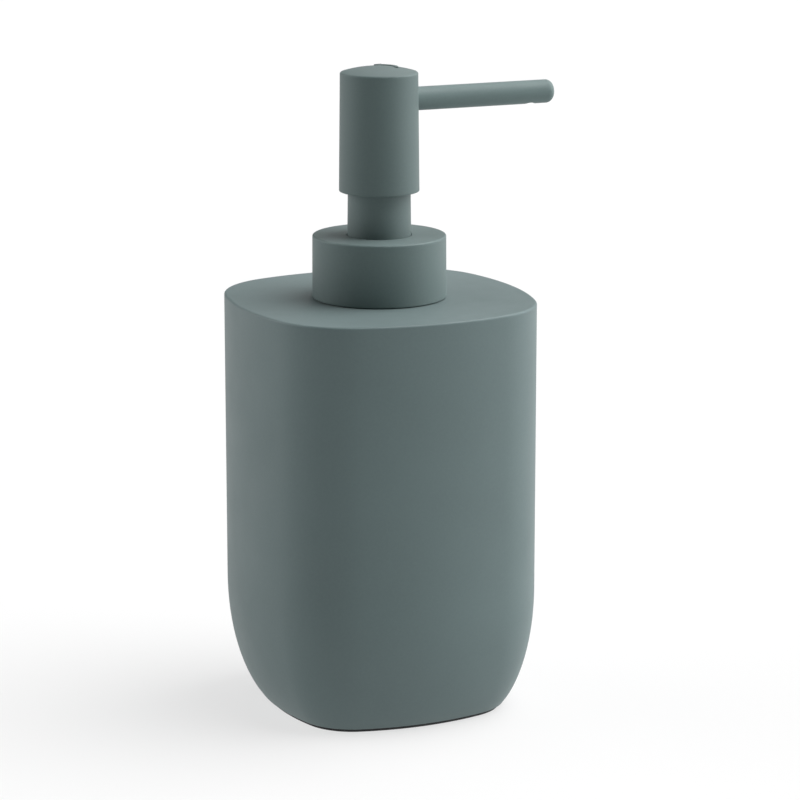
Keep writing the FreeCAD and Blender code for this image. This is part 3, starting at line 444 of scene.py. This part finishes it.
class Finish:
    """A procedural material: small helpers that add nodes and join their sockets."""

    def __init__(self, name):
        """Starts from a plain material, with its patterns on the piece's own coordinates."""
        self.material = bpy.data.materials.new(name)
        self.material.use_nodes = True
        self.nodes = self.material.node_tree.nodes
        self.links = self.material.node_tree.links
        self.surface = self.nodes["Principled BSDF"]
        self.place = self.nodes.new("ShaderNodeTexCoord").outputs["Object"]

    def node(self, kind, settings=(), **inputs):
        """Adds a node. inputs name its sockets, or number them as _0 and _1, and take a number, a
        colour or another socket."""
        made = self.nodes.new(kind)
        for key, value in dict(settings).items():
            setattr(made, key, value)
        for key, value in inputs.items():
            place = int(key[1:]) if key[1:].isdigit() else key.replace("_", " ")
            socket = made.inputs[place]
            if isinstance(value, bpy.types.NodeSocket):
                self.links.new(value, socket)
            else:
                socket.default_value = value
        return made

    def noise(self, size, detail=2.0, rough=0.5, stretch=None):
        """Noise whose features are about size across; stretch divides its scale along each axis."""
        place = self.place
        if stretch:
            place = self.node("ShaderNodeMapping", Vector=place, Scale=stretch).outputs[0]
        return self.node("ShaderNodeTexNoise", Vector=place, Scale=1 / size, Detail=detail,
                         Roughness=rough).outputs["Fac"]

    def cells(self, size, feature="F1"):
        """Distance to the nearest of many scattered points about size apart."""
        return self.node("ShaderNodeTexVoronoi", {"feature": feature}, Vector=self.place,
                         Scale=1 / size).outputs["Distance"]

    def span(self, value, low, high, to_low, to_high):
        """Carries a value from one range to another, clamped."""
        made = self.node("ShaderNodeMapRange", Value=value)
        ends = {"From Min": low, "From Max": high, "To Min": to_low, "To Max": to_high}
        for key, number in ends.items():
            made.inputs[key].default_value = number
        return made.outputs[0]

    def mixed(self, share, first, second):
        """Mix of two colours or values by share."""
        made = self.node("ShaderNodeMix", {"data_type": "RGBA"}, Factor=share)
        for key, value in (("A", first), ("B", second)):
            socket = [i for i in made.inputs if i.name == key and i.type == "RGBA"][0]
            if isinstance(value, bpy.types.NodeSocket):
                self.links.new(value, socket)
            else:
                socket.default_value = (*value, 1.0)
        return [o for o in made.outputs if o.type == "RGBA"][0]

    def math(self, operation, first, second):
        """Arithmetic on two values."""
        return self.node("ShaderNodeMath", {"operation": operation}, _0=first, _1=second).outputs[0]

    def colour(self, value):
        """Joins a pattern to the shader's colour."""
        self.links.new(value, self.surface.inputs["Base Color"])

    def roughness(self, value):
        """Joins a pattern to the shader's roughness."""
        self.links.new(value, self.surface.inputs["Roughness"])

    def relief(self, *layers):
        """Bumps laid over each other; each layer is (height, strength, depth in metres)."""
        normal = None
        for height, strength, depth in layers:
            bump = self.node("ShaderNodeBump", Height=height, Strength=strength, Distance=depth)
            if normal is not None:
                self.links.new(normal, bump.inputs["Normal"])
            normal = bump.outputs[0]
        self.links.new(normal, self.surface.inputs["Normal"])

    def set(self, **values):
        """Sets plain numbers on the shader's own sockets."""
        for key, value in values.items():
            self.surface.inputs[key.replace("_", " ")].default_value = value


def shade(colour, factor):
    """A colour made lighter or darker."""
    return tuple(min(1.0, channel * factor) for channel in colour)


def soft_touch(name, colour, look, share=1.0):
    """Matt soft-touch coat: faint clouding, fine powdery grain, and edges rubbed a little smoother.
    share lightens or darkens the colour; for the collar, chimney, head and nozzle this is painted light
    and shade that stands in for how the light falls on each piece."""
    colour = shade(colour, share)
    finish = Finish(name)
    cloud = finish.span(finish.noise(0.035, 3.0, 0.55), 0.3, 0.7, 0.0, 1.0)
    speck = finish.span(finish.noise(look.grain_size * 2.0, 2.0, 0.6), 0.35, 0.75, 0.0, 0.30)
    worn = finish.node("ShaderNodeAttribute", {"attribute_name": "edge_wear"}).outputs["Fac"]
    patchy = finish.span(finish.noise(0.006, 3.0), 0.35, 0.65, 0.15, 1.0)
    rubbed = finish.math("MULTIPLY", worn, patchy)
    base = finish.mixed(cloud, shade(colour, 0.965), shade(colour, 1.035))
    base = finish.mixed(speck, base, shade(colour, 1.18))
    finish.colour(finish.mixed(finish.math("MULTIPLY", rubbed, 0.35), base, shade(colour, 1.35)))
    patch = finish.span(finish.noise(0.012, 3.0), 0.3, 0.7,
                        look.roughness - 0.035, look.roughness + 0.035)
    finish.roughness(finish.math("SUBTRACT", patch, finish.math("MULTIPLY", rubbed, 0.10)))
    finish.relief((finish.noise(0.004, 1.0), 0.10, 0.00004),
                  (finish.noise(look.grain_size, 2.0, 0.6), look.grain, 0.00003),
                  (finish.cells(look.grain_size * 0.7), look.grain * 0.5, 0.00001))
    finish.set(IOR=1.46, Specular_IOR_Level=0.42, Sheen_Weight=look.sheen, Sheen_Roughness=0.45)
    return finish.material


def moulded(name, colour, roughness, through=0.0):
    """Moulded plastic: faint flow marks, a fine spark-eroded texture and a little light let through."""
    finish = Finish(name)
    flow = finish.span(finish.noise(0.004, 2.0, 0.5, (1.0, 1.0, 0.25)), 0.3, 0.7, 0.0, 1.0)
    base = finish.mixed(flow, shade(colour, 0.95), shade(colour, 1.04))
    dust = finish.span(finish.noise(0.0009, 3.0, 0.7), 0.62, 0.78, 0.0, 0.25)
    finish.colour(finish.mixed(dust, base, shade(colour, 0.82)))
    patch = finish.noise(0.003, 3.0)
    finish.roughness(finish.span(patch, 0.3, 0.7, roughness - 0.05, roughness + 0.06))
    finish.relief((finish.noise(0.0022, 1.0), 0.08, 0.00003),
                  (finish.noise(0.00022, 2.0), 0.12, 0.00001))
    finish.set(IOR=1.49, Subsurface_Weight=through, Subsurface_Scale=0.0015,
               Subsurface_Radius=(1.0, 0.9, 0.8))
    return finish.material


def foam(name, colour, cell):
    """Closed-cell foam: round cells cut open, with mottled shade."""
    finish = Finish(name)
    cells = finish.cells(cell, "SMOOTH_F1")
    open_cells = finish.span(cells, 0.1, 0.6, 0.0, 1.0)
    base = finish.mixed(open_cells, shade(colour, 0.78), shade(colour, 1.15))
    mottle = finish.span(finish.noise(0.004), 0.4, 0.7, 0.0, 0.5)
    finish.colour(finish.mixed(mottle, base, shade(colour, 0.9)))
    finish.roughness(finish.span(cells, 0.1, 0.7, 0.95, 0.80))
    finish.relief((cells, 0.55, 0.00012), (finish.noise(cell * 0.3), 0.2, 0.00003))
    return finish.material


def steel(name, colour, roughness, along):
    """Stainless steel: fine drawn or polished lines, with a faint darker film."""
    finish = Finish(name)
    lines = finish.noise(0.0004, 4.0, 0.6, along)
    film = finish.span(finish.noise(0.0015, 2.0), 0.3, 0.7, 0.0, 1.0)
    finish.colour(finish.mixed(film, shade(colour, 0.9), colour))
    finish.roughness(finish.span(lines, 0.3, 0.7, roughness - 0.06, roughness + 0.12))
    finish.relief((lines, 0.12, 0.00001))
    finish.set(Metallic=1.0)
    return finish.material


def clothe(material, *nodes):
    """Gives CAD solids a finish in place of their plain one."""
    for node in nodes:
        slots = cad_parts[node].data.materials
        slots.clear()
        slots.append(material)


def place_piece(piece, material, body, slot, *nodes):
    """Finishes a piece, and makes it ride on a body in place of the solids it stands for."""
    piece.data.materials.append(material)
    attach(piece, body)
    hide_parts(*nodes)
    return piece


# ---------------------------------------------------------------- pieces

def bottle_outside(size, inset):
    """Rows from the base's edge up the side and over the top's edge, and how worn each of them is.
    inset(up) is how far the side has come in."""
    base_ring, top_run, rows = 3 * MM, 4 * MM, 48
    start = size.foot + size.foot_height
    up = np.linspace(size.foot, start, rows)
    foot = np.stack([-inset(up), up], -1)
    bottom, bottom_edge = profile([(foot[0, 0] - base_ring, size.foot, 0),
                                   (*foot[0], size.foot_round), (*foot[3], 0)])
    upright = start + (size.top - start) * np.array([0.25, 0.5, 0.75, 0.93])
    side = np.vstack([foot[4:], np.stack([0 * upright, upright], -1)])
    top, top_edge = profile([(0, size.top - top_run, 0), (0, size.top, size.top_round),
                             (-size.top_round * 3, size.top, 0)])
    wall = np.vstack([bottom, side, top[1:]])
    return square_rows(wall * (-1, 1)), np.concatenate([bottom_edge, 0 * side[:, 0], top_edge[1:]])


def bottle_mouth(size, roof, inner_rim):
    """Rows across the flat top from square to round, down the sunk ledge and the mouth, and under the
    roof from round back to square."""
    ledge_up = size.top - size.ledge_depth
    mouth, mouth_edge = profile([
        (size.ledge + 1.2 * MM, size.top, 0), (size.ledge, size.top, 0.2 * MM),
        (size.ledge, ledge_up, 0.15 * MM), (size.mouth, ledge_up, 0.2 * MM),
        (size.mouth, roof, 0.3 * MM), (size.mouth + 1.5 * MM, roof, 0)], steps=3)
    over, under = np.linspace(0, 1, 8)[1:-1], np.array([0.66, 0.33])
    rows = [blend_rows(size.top_round * 3, mouth[0, 0], over, size.top), round_rows(mouth),
            blend_rows(inner_rim, mouth[-1, 0], under, roof)]
    return np.vstack(rows), np.concatenate([0 * over, mouth_edge, 0 * under])


def bottle_inside(size, inset, roof, floor, inner_rim):
    """Rows of the reservoir: from its roof round the upper corner, down the wall and in at the floor."""
    upper, lower, rows = 3 * MM, 1.2 * MM, 26
    down = np.linspace(roof - upper, floor + lower, rows)
    low = size.wall + inset(floor)
    inner = np.vstack([
        [[inner_rim, roof], [size.wall + 1.2 * MM, roof],
         [size.wall + 0.4 * MM, roof - 0.4 * MM], [size.wall, roof - 1.2 * MM]],
        np.stack([size.wall + inset(down), down], -1),
        [[low + 0.5 * MM, floor + 0.3 * MM], [low + 1.4 * MM, floor], [low + 6 * MM, floor]]])
    return square_rows(inner), 0 * inner[:, 0]


class DISPENSER_OT_bottle(bpy.types.Operator):
    """Build the bottle: one closed shell, hollow inside, with a sunk ledge around its mouth"""
    bl_idname = "dispenser.bottle"
    bl_label = "Bottle"

    def execute(self, context):
        size, look = context.scene.dispenser_bottle, context.scene.dispenser_finish
        start = size.foot + size.foot_height
        roof, floor = size.top - size.roof, size.foot + size.floor
        inner_rim = size.wall + 5 * MM

        def inset(up):
            return foot_curve(start - up, size.foot_across, size.foot_deep)

        parts = (bottle_outside(size, inset), bottle_mouth(size, roof, inner_rim),
                 bottle_inside(size, inset, roof, floor, inner_rim))
        rows, worn = (np.concatenate(lists) for lists in zip(*parts))
        shape = Shape()
        outline = plan(size.width, size.side, size.corner, size.columns)
        numbers = shape.add(sections(outline, rows), worn[:, None])
        shape.join(numbers)
        shape.close(numbers[0], (0, 0, size.foot))
        shape.close(numbers[-1], (0, 0, floor))
        made = shape.piece("bottle_wall")
        coat = soft_touch("soft_touch_resin", look.resin, look)
        place_piece(made, coat, "bottle", "soft_touch_resin", "bottle_body")
        return {"FINISHED"}


class DISPENSER_OT_collar(bpy.types.Operator):
    """Build the collar and the chimney: rounded rings with the head's guide passing through them"""
    bl_idname = "dispenser.collar"
    bl_label = "Collar and chimney"

    def execute(self, context):
        size, look = context.scene.dispenser_pump, context.scene.dispenser_finish
        # The collar's coat is a lighter copy of the shells' colour: painted light.
        coat = soft_touch("soft_touch_collar", look.shell, look, look.collar_painted_light)
        foot, top = foot_of("collar_shell") - size.collar_hang, top_of("collar_shell")
        small = size.edge_round
        fine = small * 0.6
        made = ring_piece("collar_cover", [
            (size.collar_bore, foot, small), (size.collar_radius, foot, small),
            (size.collar_radius - size.collar_draft, top, size.collar_round),
            (size.collar_hole, top, small), (size.collar_hole, top - size.collar_roof, small),
            (size.collar_bore, top - size.collar_roof, small)], size.columns, 1.6 * MM)
        place_piece(made, coat, "collar", "soft_touch_shell", "collar_shell")
        foot, top = foot_of("chimney_sleeve"), top_of("chimney_sleeve")
        made = ring_piece("chimney_cover", [
            (size.chimney_bore, foot, fine), (size.chimney_radius, foot, fine),
            (size.chimney_radius - size.chimney_draft, top, small * 1.6),
            (size.chimney_hole, top, fine), (size.chimney_hole, top - size.chimney_lip, fine),
            (size.chimney_bore, top - size.chimney_lip, 0)], size.columns, 1.4 * MM)
        # The chimney's coat is a darker copy of the shells' colour: painted shade.
        coat = soft_touch("soft_touch_chimney", look.shell, look, look.chimney_painted_shade)
        place_piece(made, coat, "pump", "soft_touch_shell", "chimney_sleeve")
        return {"FINISHED"}


def turning_arrow(shape, size, under):
    """A curved arrow in low relief: a band whose middle keeps its radius while its half width w(t)
    narrows from the barbs to the tip. Each section is a low rounded ridge sunk a little in the top."""
    half = size.mark_sweep / 2
    tip = size.mark_tip / size.mark_radius
    neck = 0.02
    t = np.concatenate([np.linspace(-half, half - neck, 40), [half, half + neck],
                        np.linspace(half + 0.03, half + tip, 10)])
    band, barb = size.mark_width / 2, size.mark_barb
    width = np.interp(t, [-half, half, half + neck, half + tip], [band, band, barb, barb * 0.06])
    across = np.array([-1.0, -1.0, -0.94, -0.8, 0.8, 0.94, 1.0, 1.0])
    soft = np.minimum(width, 0.18 * MM)[:, None]
    side = np.sign(across) * (width[:, None] - soft) + np.clip(across, -1, 1) * soft
    level = under + np.array([-1.2, 0.4, 0.8, 1.0, 1.0, 0.8, 0.4, -1.2]) * size.mark_height
    radius = size.mark_radius + side
    t = t[:, None] + size.mark_turn
    grid = np.stack([radius * np.cos(t), radius * np.sin(t), np.broadcast_to(level, radius.shape)], -1)
    numbers = shape.add(grid, np.array([0, 0.4, 1, 0.6, 0.6, 1, 0.4, 0]))
    shape.join(numbers)
    for end in (0, -1):
        shape.close(numbers[end], grid[end].mean(0))


class DISPENSER_OT_head(bpy.types.Operator):
    """Build the head: a drafted cap with a domed top, the nozzle's hole and an arrow in low relief"""
    bl_idname = "dispenser.head"
    bl_label = "Head"

    def execute(self, context):
        size, look = context.scene.dispenser_pump, context.scene.dispenser_finish
        foot = foot_of("head_shell")
        top = foot + size.head_height
        ceiling_up = top - size.head_roof
        rim = size.head_radius + size.head_draft
        small, wall = size.edge_round, size.head_wall
        axis = top - size.nozzle_drop
        hole = size.nozzle_radius + size.nozzle_gap
        reach = hole + 1.2 * MM
        slope = size.head_draft / size.head_height

        def outside(up):
            return size.head_radius + (top - up) * slope

        def inside(up):
            return outside(up) - wall

        # The top is part of a ball: dome(r) = top + rise - ball + sqrt(ball^2 - r^2).
        ball = (size.head_radius ** 2 + size.head_dome ** 2) / (2 * size.head_dome)

        def dome(radius):
            return top + size.head_dome - ball + np.sqrt(ball ** 2 - radius ** 2)

        over = size.head_radius * np.linspace(0.93, 0.06, 14)
        points, edge = profile([
            (0.6 * MM, ceiling_up, 0), (size.head_radius - wall, ceiling_up, small),
            (rim - wall, foot, small), (rim, foot, small), (size.head_radius, top, size.head_round),
            *((radius, dome(radius), 0) for radius in over)])
        # Levels of both walls, with an even block of them around the nozzle's hole.
        lower = np.linspace(foot + 3 * small, axis - reach, 12)[:-1]
        levels = np.linspace(axis - reach, axis + reach, HOLE_ROWS + 1)
        upper = np.linspace(axis + reach, ceiling_up - 2 * small, 3)[1:-1]
        climb = np.concatenate([lower, levels, upper])
        down = climb[::-1]
        inner_end = 1 + arc_points()
        outer_start = inner_end + 2 * arc_points()
        rows = np.vstack([points[:inner_end], np.stack([inside(down), down], -1),
                          points[inner_end:outer_start], np.stack([outside(climb), climb], -1),
                          points[outer_start:]])
        worn = np.concatenate([edge[:inner_end], 0 * down, edge[inner_end:outer_start], 0 * climb,
                               edge[outer_start:]])
        turn = -HOLE_COLUMNS / 2 * 2 * math.pi / HEAD_COLUMNS
        grid = spun(rows, HEAD_COLUMNS, turn)
        shape = Shape()
        numbers = shape.add(grid, worn[:, None])
        starts = (inner_end + len(upper), outer_start + len(down) + len(lower))
        shape.join(numbers, [(row, row + HOLE_ROWS, 0, HOLE_COLUMNS) for row in starts])
        shape.close(numbers[0], (0, 0, ceiling_up))
        shape.close(numbers[-1], (0, 0, top + size.head_dome))
        rings = []
        for row, radius in zip(starts, (inside, outside)):
            part = (slice(row, row + HOLE_ROWS + 1), slice(0, HOLE_COLUMNS + 1))

            def lift(across, up, radius=radius):
                return np.stack([np.sqrt(radius(up) ** 2 - across ** 2), across, up], -1)

            rings.append(pierce(shape, (numbers[part], grid[part][..., 1:]), lift,
                                np.array([0.0, axis]), hole))
        (inner_ring, inner_circle), (outer_ring, outer_circle) = rings
        shape.join(np.stack([inner_ring[lined_up(inner_circle, outer_circle)], outer_ring]))
        turning_arrow(shape, size, dome(size.mark_radius))
        made = shape.piece("head_cover")
        # The head's coat is a darker copy of the shells' colour: painted shade.
        coat = soft_touch("soft_touch_head", look.shell, look, look.head_painted_shade)
        place_piece(made, coat, "head", "soft_touch_shell", "head_shell")
        return {"FINISHED"}


class DISPENSER_OT_nozzle(bpy.types.Operator):
    """Build the nozzle: a straight tube with a closed rounded tip and its outlet underneath"""
    bl_idname = "dispenser.nozzle"
    bl_label = "Nozzle"

    def execute(self, context):
        size, look = context.scene.dispenser_pump, context.scene.dispenser_finish
        low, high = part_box("nozzle_tube")
        root, tip, axis = low.x, high.x, (low.z + high.z) / 2
        small, bore, radius = size.edge_round, size.nozzle_bore, size.nozzle_radius
        at, hole = tip - size.outlet_back, size.outlet_radius
        bore_tip, pole = tip - size.nozzle_end, 0.15 * MM
        soft = 0.2 * MM
        reach = hole + 0.75 * MM
        shaft_steps, bore_steps, steps = 20, 8, 9
        points, edge = profile([
            (bore_tip, pole, 0), (bore_tip, bore, small), (root, bore, small * 0.6),
            (root, radius, small), (tip, radius, size.nozzle_round), (tip, pole, 0)], steps=steps)
        # Stations along the bore, from its end to the root, and along the shaft, back to the tip.
        ahead = np.linspace(bore_tip - 2 * small, at + reach, 4)[:-1]
        behind = np.linspace(root + 3 * small, at - reach, 24)[:-1]
        inner = np.concatenate([ahead, np.linspace(at + reach, at - reach, bore_steps + 1),
                                np.linspace(at - reach, root + 3 * small, 20)[1:-1]])
        outer = np.concatenate([behind, np.linspace(at - reach, at + reach, shaft_steps + 1),
                                np.linspace(at + reach, tip - size.nozzle_round * 1.6, 4)[1:-1]])
        inner_end = 1 + arc_points(steps)
        outer_start = inner_end + 2 * arc_points(steps)
        rows = np.vstack([points[:inner_end], np.stack([inner, 0 * inner + bore], -1),
                          points[inner_end:outer_start], np.stack([outer, 0 * outer + radius], -1),
                          points[outer_start:]])
        worn = np.concatenate([edge[:inner_end], 0 * inner, edge[inner_end:outer_start], 0 * outer,
                               edge[outer_start:]])
        t = np.arange(NOZZLE_COLUMNS) * 2 * math.pi / NOZZLE_COLUMNS
        along, out = rows[:, :1], rows[:, 1:]
        grid = np.stack([along + 0 * t, out * np.cos(t), axis + out * np.sin(t)], -1)
        shape = Shape()
        numbers = shape.add(grid, worn[:, None])
        inner_row = inner_end + len(ahead)
        outer_row = outer_start + len(inner) + len(behind)
        blocks = ((inner_row, inner_row + bore_steps, *BORE_BLOCK),
                  (outer_row, outer_row + shaft_steps, *SHAFT_BLOCK))
        shape.join(numbers, blocks)
        shape.close(numbers[0], (bore_tip, 0, axis))
        shape.close(numbers[-1], (tip, 0, axis))
        rings = []
        for block, wall, width in zip(blocks, (bore, radius), (hole, hole + soft)):
            row, last_row, column, last_column = block
            part = (slice(row, last_row + 1), slice(column, last_column + 1))

            def lift(along, across, wall=wall):
                return np.stack([along, across, axis - np.sqrt(wall ** 2 - across ** 2)], -1)

            rings.append(pierce(shape, (numbers[part], grid[part][..., :2]), lift,
                                np.array([at, 0.0]), width))
        (inner_ring, inner_circle), (outer_ring, outer_circle) = rings
        # The outlet's lip turns in from the shaft over a quarter round of radius soft.
        bend = np.linspace(0, math.pi / 2, 5)[1:, None, None]
        flat = (hole + soft * (1 - np.sin(bend))) * outer_circle
        level = axis - np.sqrt(radius ** 2 - flat[..., 1] ** 2) + soft * (1 - np.cos(bend[..., 0]))
        lip = shape.add(np.stack([at + flat[..., 0], flat[..., 1], level], -1), 0.8)
        inner_ring = inner_ring[lined_up(inner_circle, outer_circle)]
        shape.join(np.vstack([outer_ring[None], lip, inner_ring[None]]))
        made = shape.piece("nozzle")
        # The nozzle's coat is a lighter copy of the shells' colour: painted light.
        coat = soft_touch("soft_touch_nozzle", look.shell, look, look.nozzle_painted_light)
        place_piece(made, coat, "head", "soft_touch_shell", "nozzle_tube")
        return {"FINISHED"}


class DISPENSER_OT_spring(bpy.types.Operator):
    """Build the return spring: a wire wound with closed coils at both ends"""
    bl_idname = "dispenser.spring"
    bl_label = "Return spring"

    def execute(self, context):
        size, look = context.scene.dispenser_pump, context.scene.dispenser_finish
        low, high = foot_of("return_spring"), top_of("return_spring")
        wire, radius, turns = size.spring_wire, size.spring_radius, size.spring_turns
        turn_points, wire_points, seat_gap = 48, 14, 0.04 * MM
        climb = high - low - 2 * wire
        # The line climbs by just over a wire's thickness in each end coil, and evenly in between.
        share = np.linspace(0, 1, int(turns * turn_points) + 1)
        bend = 1 / turns
        closed = 2.1 * wire / climb
        rise = np.interp(share, [0, bend, 1 - bend, 1], [0, closed, 1 - closed, 1])
        t = share * turns * 2 * math.pi
        out = np.stack([np.cos(t), np.sin(t), 0 * t], -1)
        middle = radius * out + np.stack([0 * t, 0 * t, low + wire + climb * rise], -1)
        # The wire's section stands across the line: out(t) cos u + up(t) sin u.
        along = np.gradient(middle, axis=0)
        along /= np.linalg.norm(along, axis=1)[:, None]
        up = np.cross(out, along)
        u = (np.arange(wire_points) * 2 * math.pi / wire_points)[:, None]
        tube = middle[:, None] + wire * (out[:, None] * np.cos(u) + up[:, None] * np.sin(u))
        tube[..., 2] = np.clip(tube[..., 2], low, high)
        shape = Shape()
        numbers = shape.add(tube)
        shape.join(numbers)
        shape.close(numbers[0], middle[0])
        shape.close(numbers[-1], middle[-1])
        made = shape.piece("spring_coil")
        metal = steel("spring_steel", look.steel, 0.24, (1.0, 1.0, 6.0))
        place_piece(made, metal, "pump", "spring_steel", "return_spring")
        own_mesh(made)
        return {"FINISHED"}


class DISPENSER_OT_inner(bpy.types.Operator):
    """Finish the pump's inner pieces, the neck, the gaskets and the pad in their own materials"""
    bl_idname = "dispenser.inner"
    bl_label = "Inner pieces"

    def execute(self, context):
        look = context.scene.dispenser_finish
        clothe(moulded("pump_plastic", look.plastic, 0.34, 0.12),
               "pump_housing", "ball_cage", "upper_stem", "piston_stem")
        clothe(moulded("dark_plastic", look.dark, 0.38), "screw_cap", "chaplet", "head_core")
        clothe(moulded("neck_plastic", shade(look.dark, 0.8), 0.42), "neck_insert")
        clothe(moulded("tube_plastic", look.tube, 0.28, 0.2), "dip_tube")
        clothe(moulded("seal_plastic", look.seal, 0.45, 0.1), "piston_seal")
        clothe(foam("gasket_foam", look.foam, 0.0003), "neck_gasket", "inner_gasket")
        clothe(foam("pad_foam", look.pad, 0.0005), "base_pad")
        clothe(steel("ball_steel", look.steel, 0.12, (1.0, 1.0, 1.0)), "inlet_ball")
        return {"FINISHED"}


def place_camera(scene, stage, right, ahead):
    """The camera: level with its own right and ahead directions, then pitched down at the object."""
    camera = bpy.data.cameras.new("camera")
    camera.lens, camera.sensor_width = stage.lens, 36.0
    camera.clip_start, camera.clip_end = 0.05, 40.0
    eye = bpy.data.objects.new("camera", camera)
    scene.collection.objects.link(eye)
    eye.location = (*(stage.aside * right - stage.away * ahead), stage.height)
    eye.rotation_euler = (math.pi / 2 - stage.pitch, 0.0, stage.azimuth)
    scene.camera = eye


def lay_floor(scene, stage):
    """The floor: a disc whose rings grow by an even share, just under the object, glowing faintly."""
    columns, rings, drop = 96, np.geomspace(0.05, stage.floor_radius, 24)[:, None], 0.05 * MM
    t = np.arange(columns) * 2 * math.pi / columns
    disc = np.stack([rings * np.cos(t), rings * np.sin(t), -drop + 0 * rings * t], -1)
    numbers = np.arange(disc.shape[0] * columns).reshape(disc.shape[:2])
    after = np.roll(numbers, -1, 1)
    quads = np.stack([numbers[:-1], numbers[1:], after[1:], after[:-1]], -1).reshape(-1, 4)
    mesh = bpy.data.meshes.new("floor")
    mesh.from_pydata(disc.reshape(-1, 3).tolist(), [], quads.tolist() + [numbers[0].tolist()])
    floor = bpy.data.objects.new("floor", mesh)
    scene.collection.objects.link(floor)
    paper = Finish("pale_floor")
    cloud = paper.span(paper.noise(0.3, 2.0), 0.3, 0.7, 0.0, 1.0)
    paper.colour(paper.mixed(cloud, shade(stage.floor, 0.99), shade(stage.floor, 1.01)))
    paper.set(Roughness=0.9, Specular_IOR_Level=0.1, Emission_Color=(1.0, 1.0, 1.0, 1.0),
              Emission_Strength=stage.glow)
    mesh.materials.append(paper.material)


def hang_lights(scene, stage):
    """The soft lights, each turned from the camera's side."""
    for name, turn, height, width, strength in LIGHTS:
        light = bpy.data.lights.new(name, "SUN")
        light.energy, light.angle = strength, math.radians(width)
        lamp = bpy.data.objects.new(name, light)
        scene.collection.objects.link(lamp)
        lamp.rotation_euler = (math.radians(90 - height), 0.0, stage.azimuth + math.radians(turn))


def set_backdrop(scene, stage):
    """A white backdrop that the camera sees and that lights nothing."""
    world = bpy.data.worlds.new("room")
    world.use_nodes = True
    backdrop = world.node_tree.nodes["Background"]
    backdrop.inputs["Color"].default_value = (*stage.world, 1.0)
    scene.world = world
    for ray in ("diffuse", "glossy", "transmission", "scatter"):
        setattr(world.cycles_visibility, ray, False)
    scene.view_settings.view_transform = "Standard"
    scene.view_settings.look = "None"


class DISPENSER_OT_stage(bpy.types.Operator):
    """Set the camera, the pale floor, the soft lights and the backdrop"""
    bl_idname = "dispenser.stage"
    bl_label = "Stage"

    def execute(self, context):
        stage, scene = context.scene.dispenser_stage, context.scene
        a = stage.azimuth
        right, ahead = np.array([math.cos(a), math.sin(a)]), np.array([-math.sin(a), math.cos(a)])
        place_camera(scene, stage, right, ahead)
        lay_floor(scene, stage)
        hang_lights(scene, stage)
        set_backdrop(scene, stage)
        return {"FINISHED"}


class DISPENSER_PT_panel(bpy.types.Panel):
    """List the buttons that build the dispenser piece by piece"""
    bl_idname = "DISPENSER_PT_panel"
    bl_label = "Soap pump dispenser"
    bl_space_type = "VIEW_3D"
    bl_region_type = "UI"
    bl_category = "Dispenser"

    def draw(self, context):
        for operator in OPERATORS:
            self.layout.operator(operator.bl_idname)


GROUPS = {"dispenser_bottle": DispenserBottle, "dispenser_pump": DispenserPump,
          "dispenser_finish": DispenserFinish, "dispenser_stage": DispenserStage}
OPERATORS = (DISPENSER_OT_stage, DISPENSER_OT_bottle, DISPENSER_OT_collar, DISPENSER_OT_head,
             DISPENSER_OT_nozzle, DISPENSER_OT_spring, DISPENSER_OT_inner)


def register():
    """Makes the classes known, and gives the scene its groups of sizes."""
    for name, group in GROUPS.items():
        bpy.utils.register_class(group)
        setattr(bpy.types.Scene, name, PointerProperty(type=group))
    for part in (*OPERATORS, DISPENSER_PT_panel):
        bpy.utils.register_class(part)


def unregister():
    """Takes the classes and the groups away again, in the opposite order."""
    for part in (DISPENSER_PT_panel, *reversed(OPERATORS)):
        bpy.utils.unregister_class(part)
    for name, group in reversed(GROUPS.items()):
        delattr(bpy.types.Scene, name)
        bpy.utils.unregister_class(group)


def main():
    """Builds every piece in order."""
    register()
    for operator in OPERATORS:
        group, call = operator.bl_idname.split(".")
        getattr(getattr(bpy.ops, group), call)()


if __name__ == "__main__":
    main()
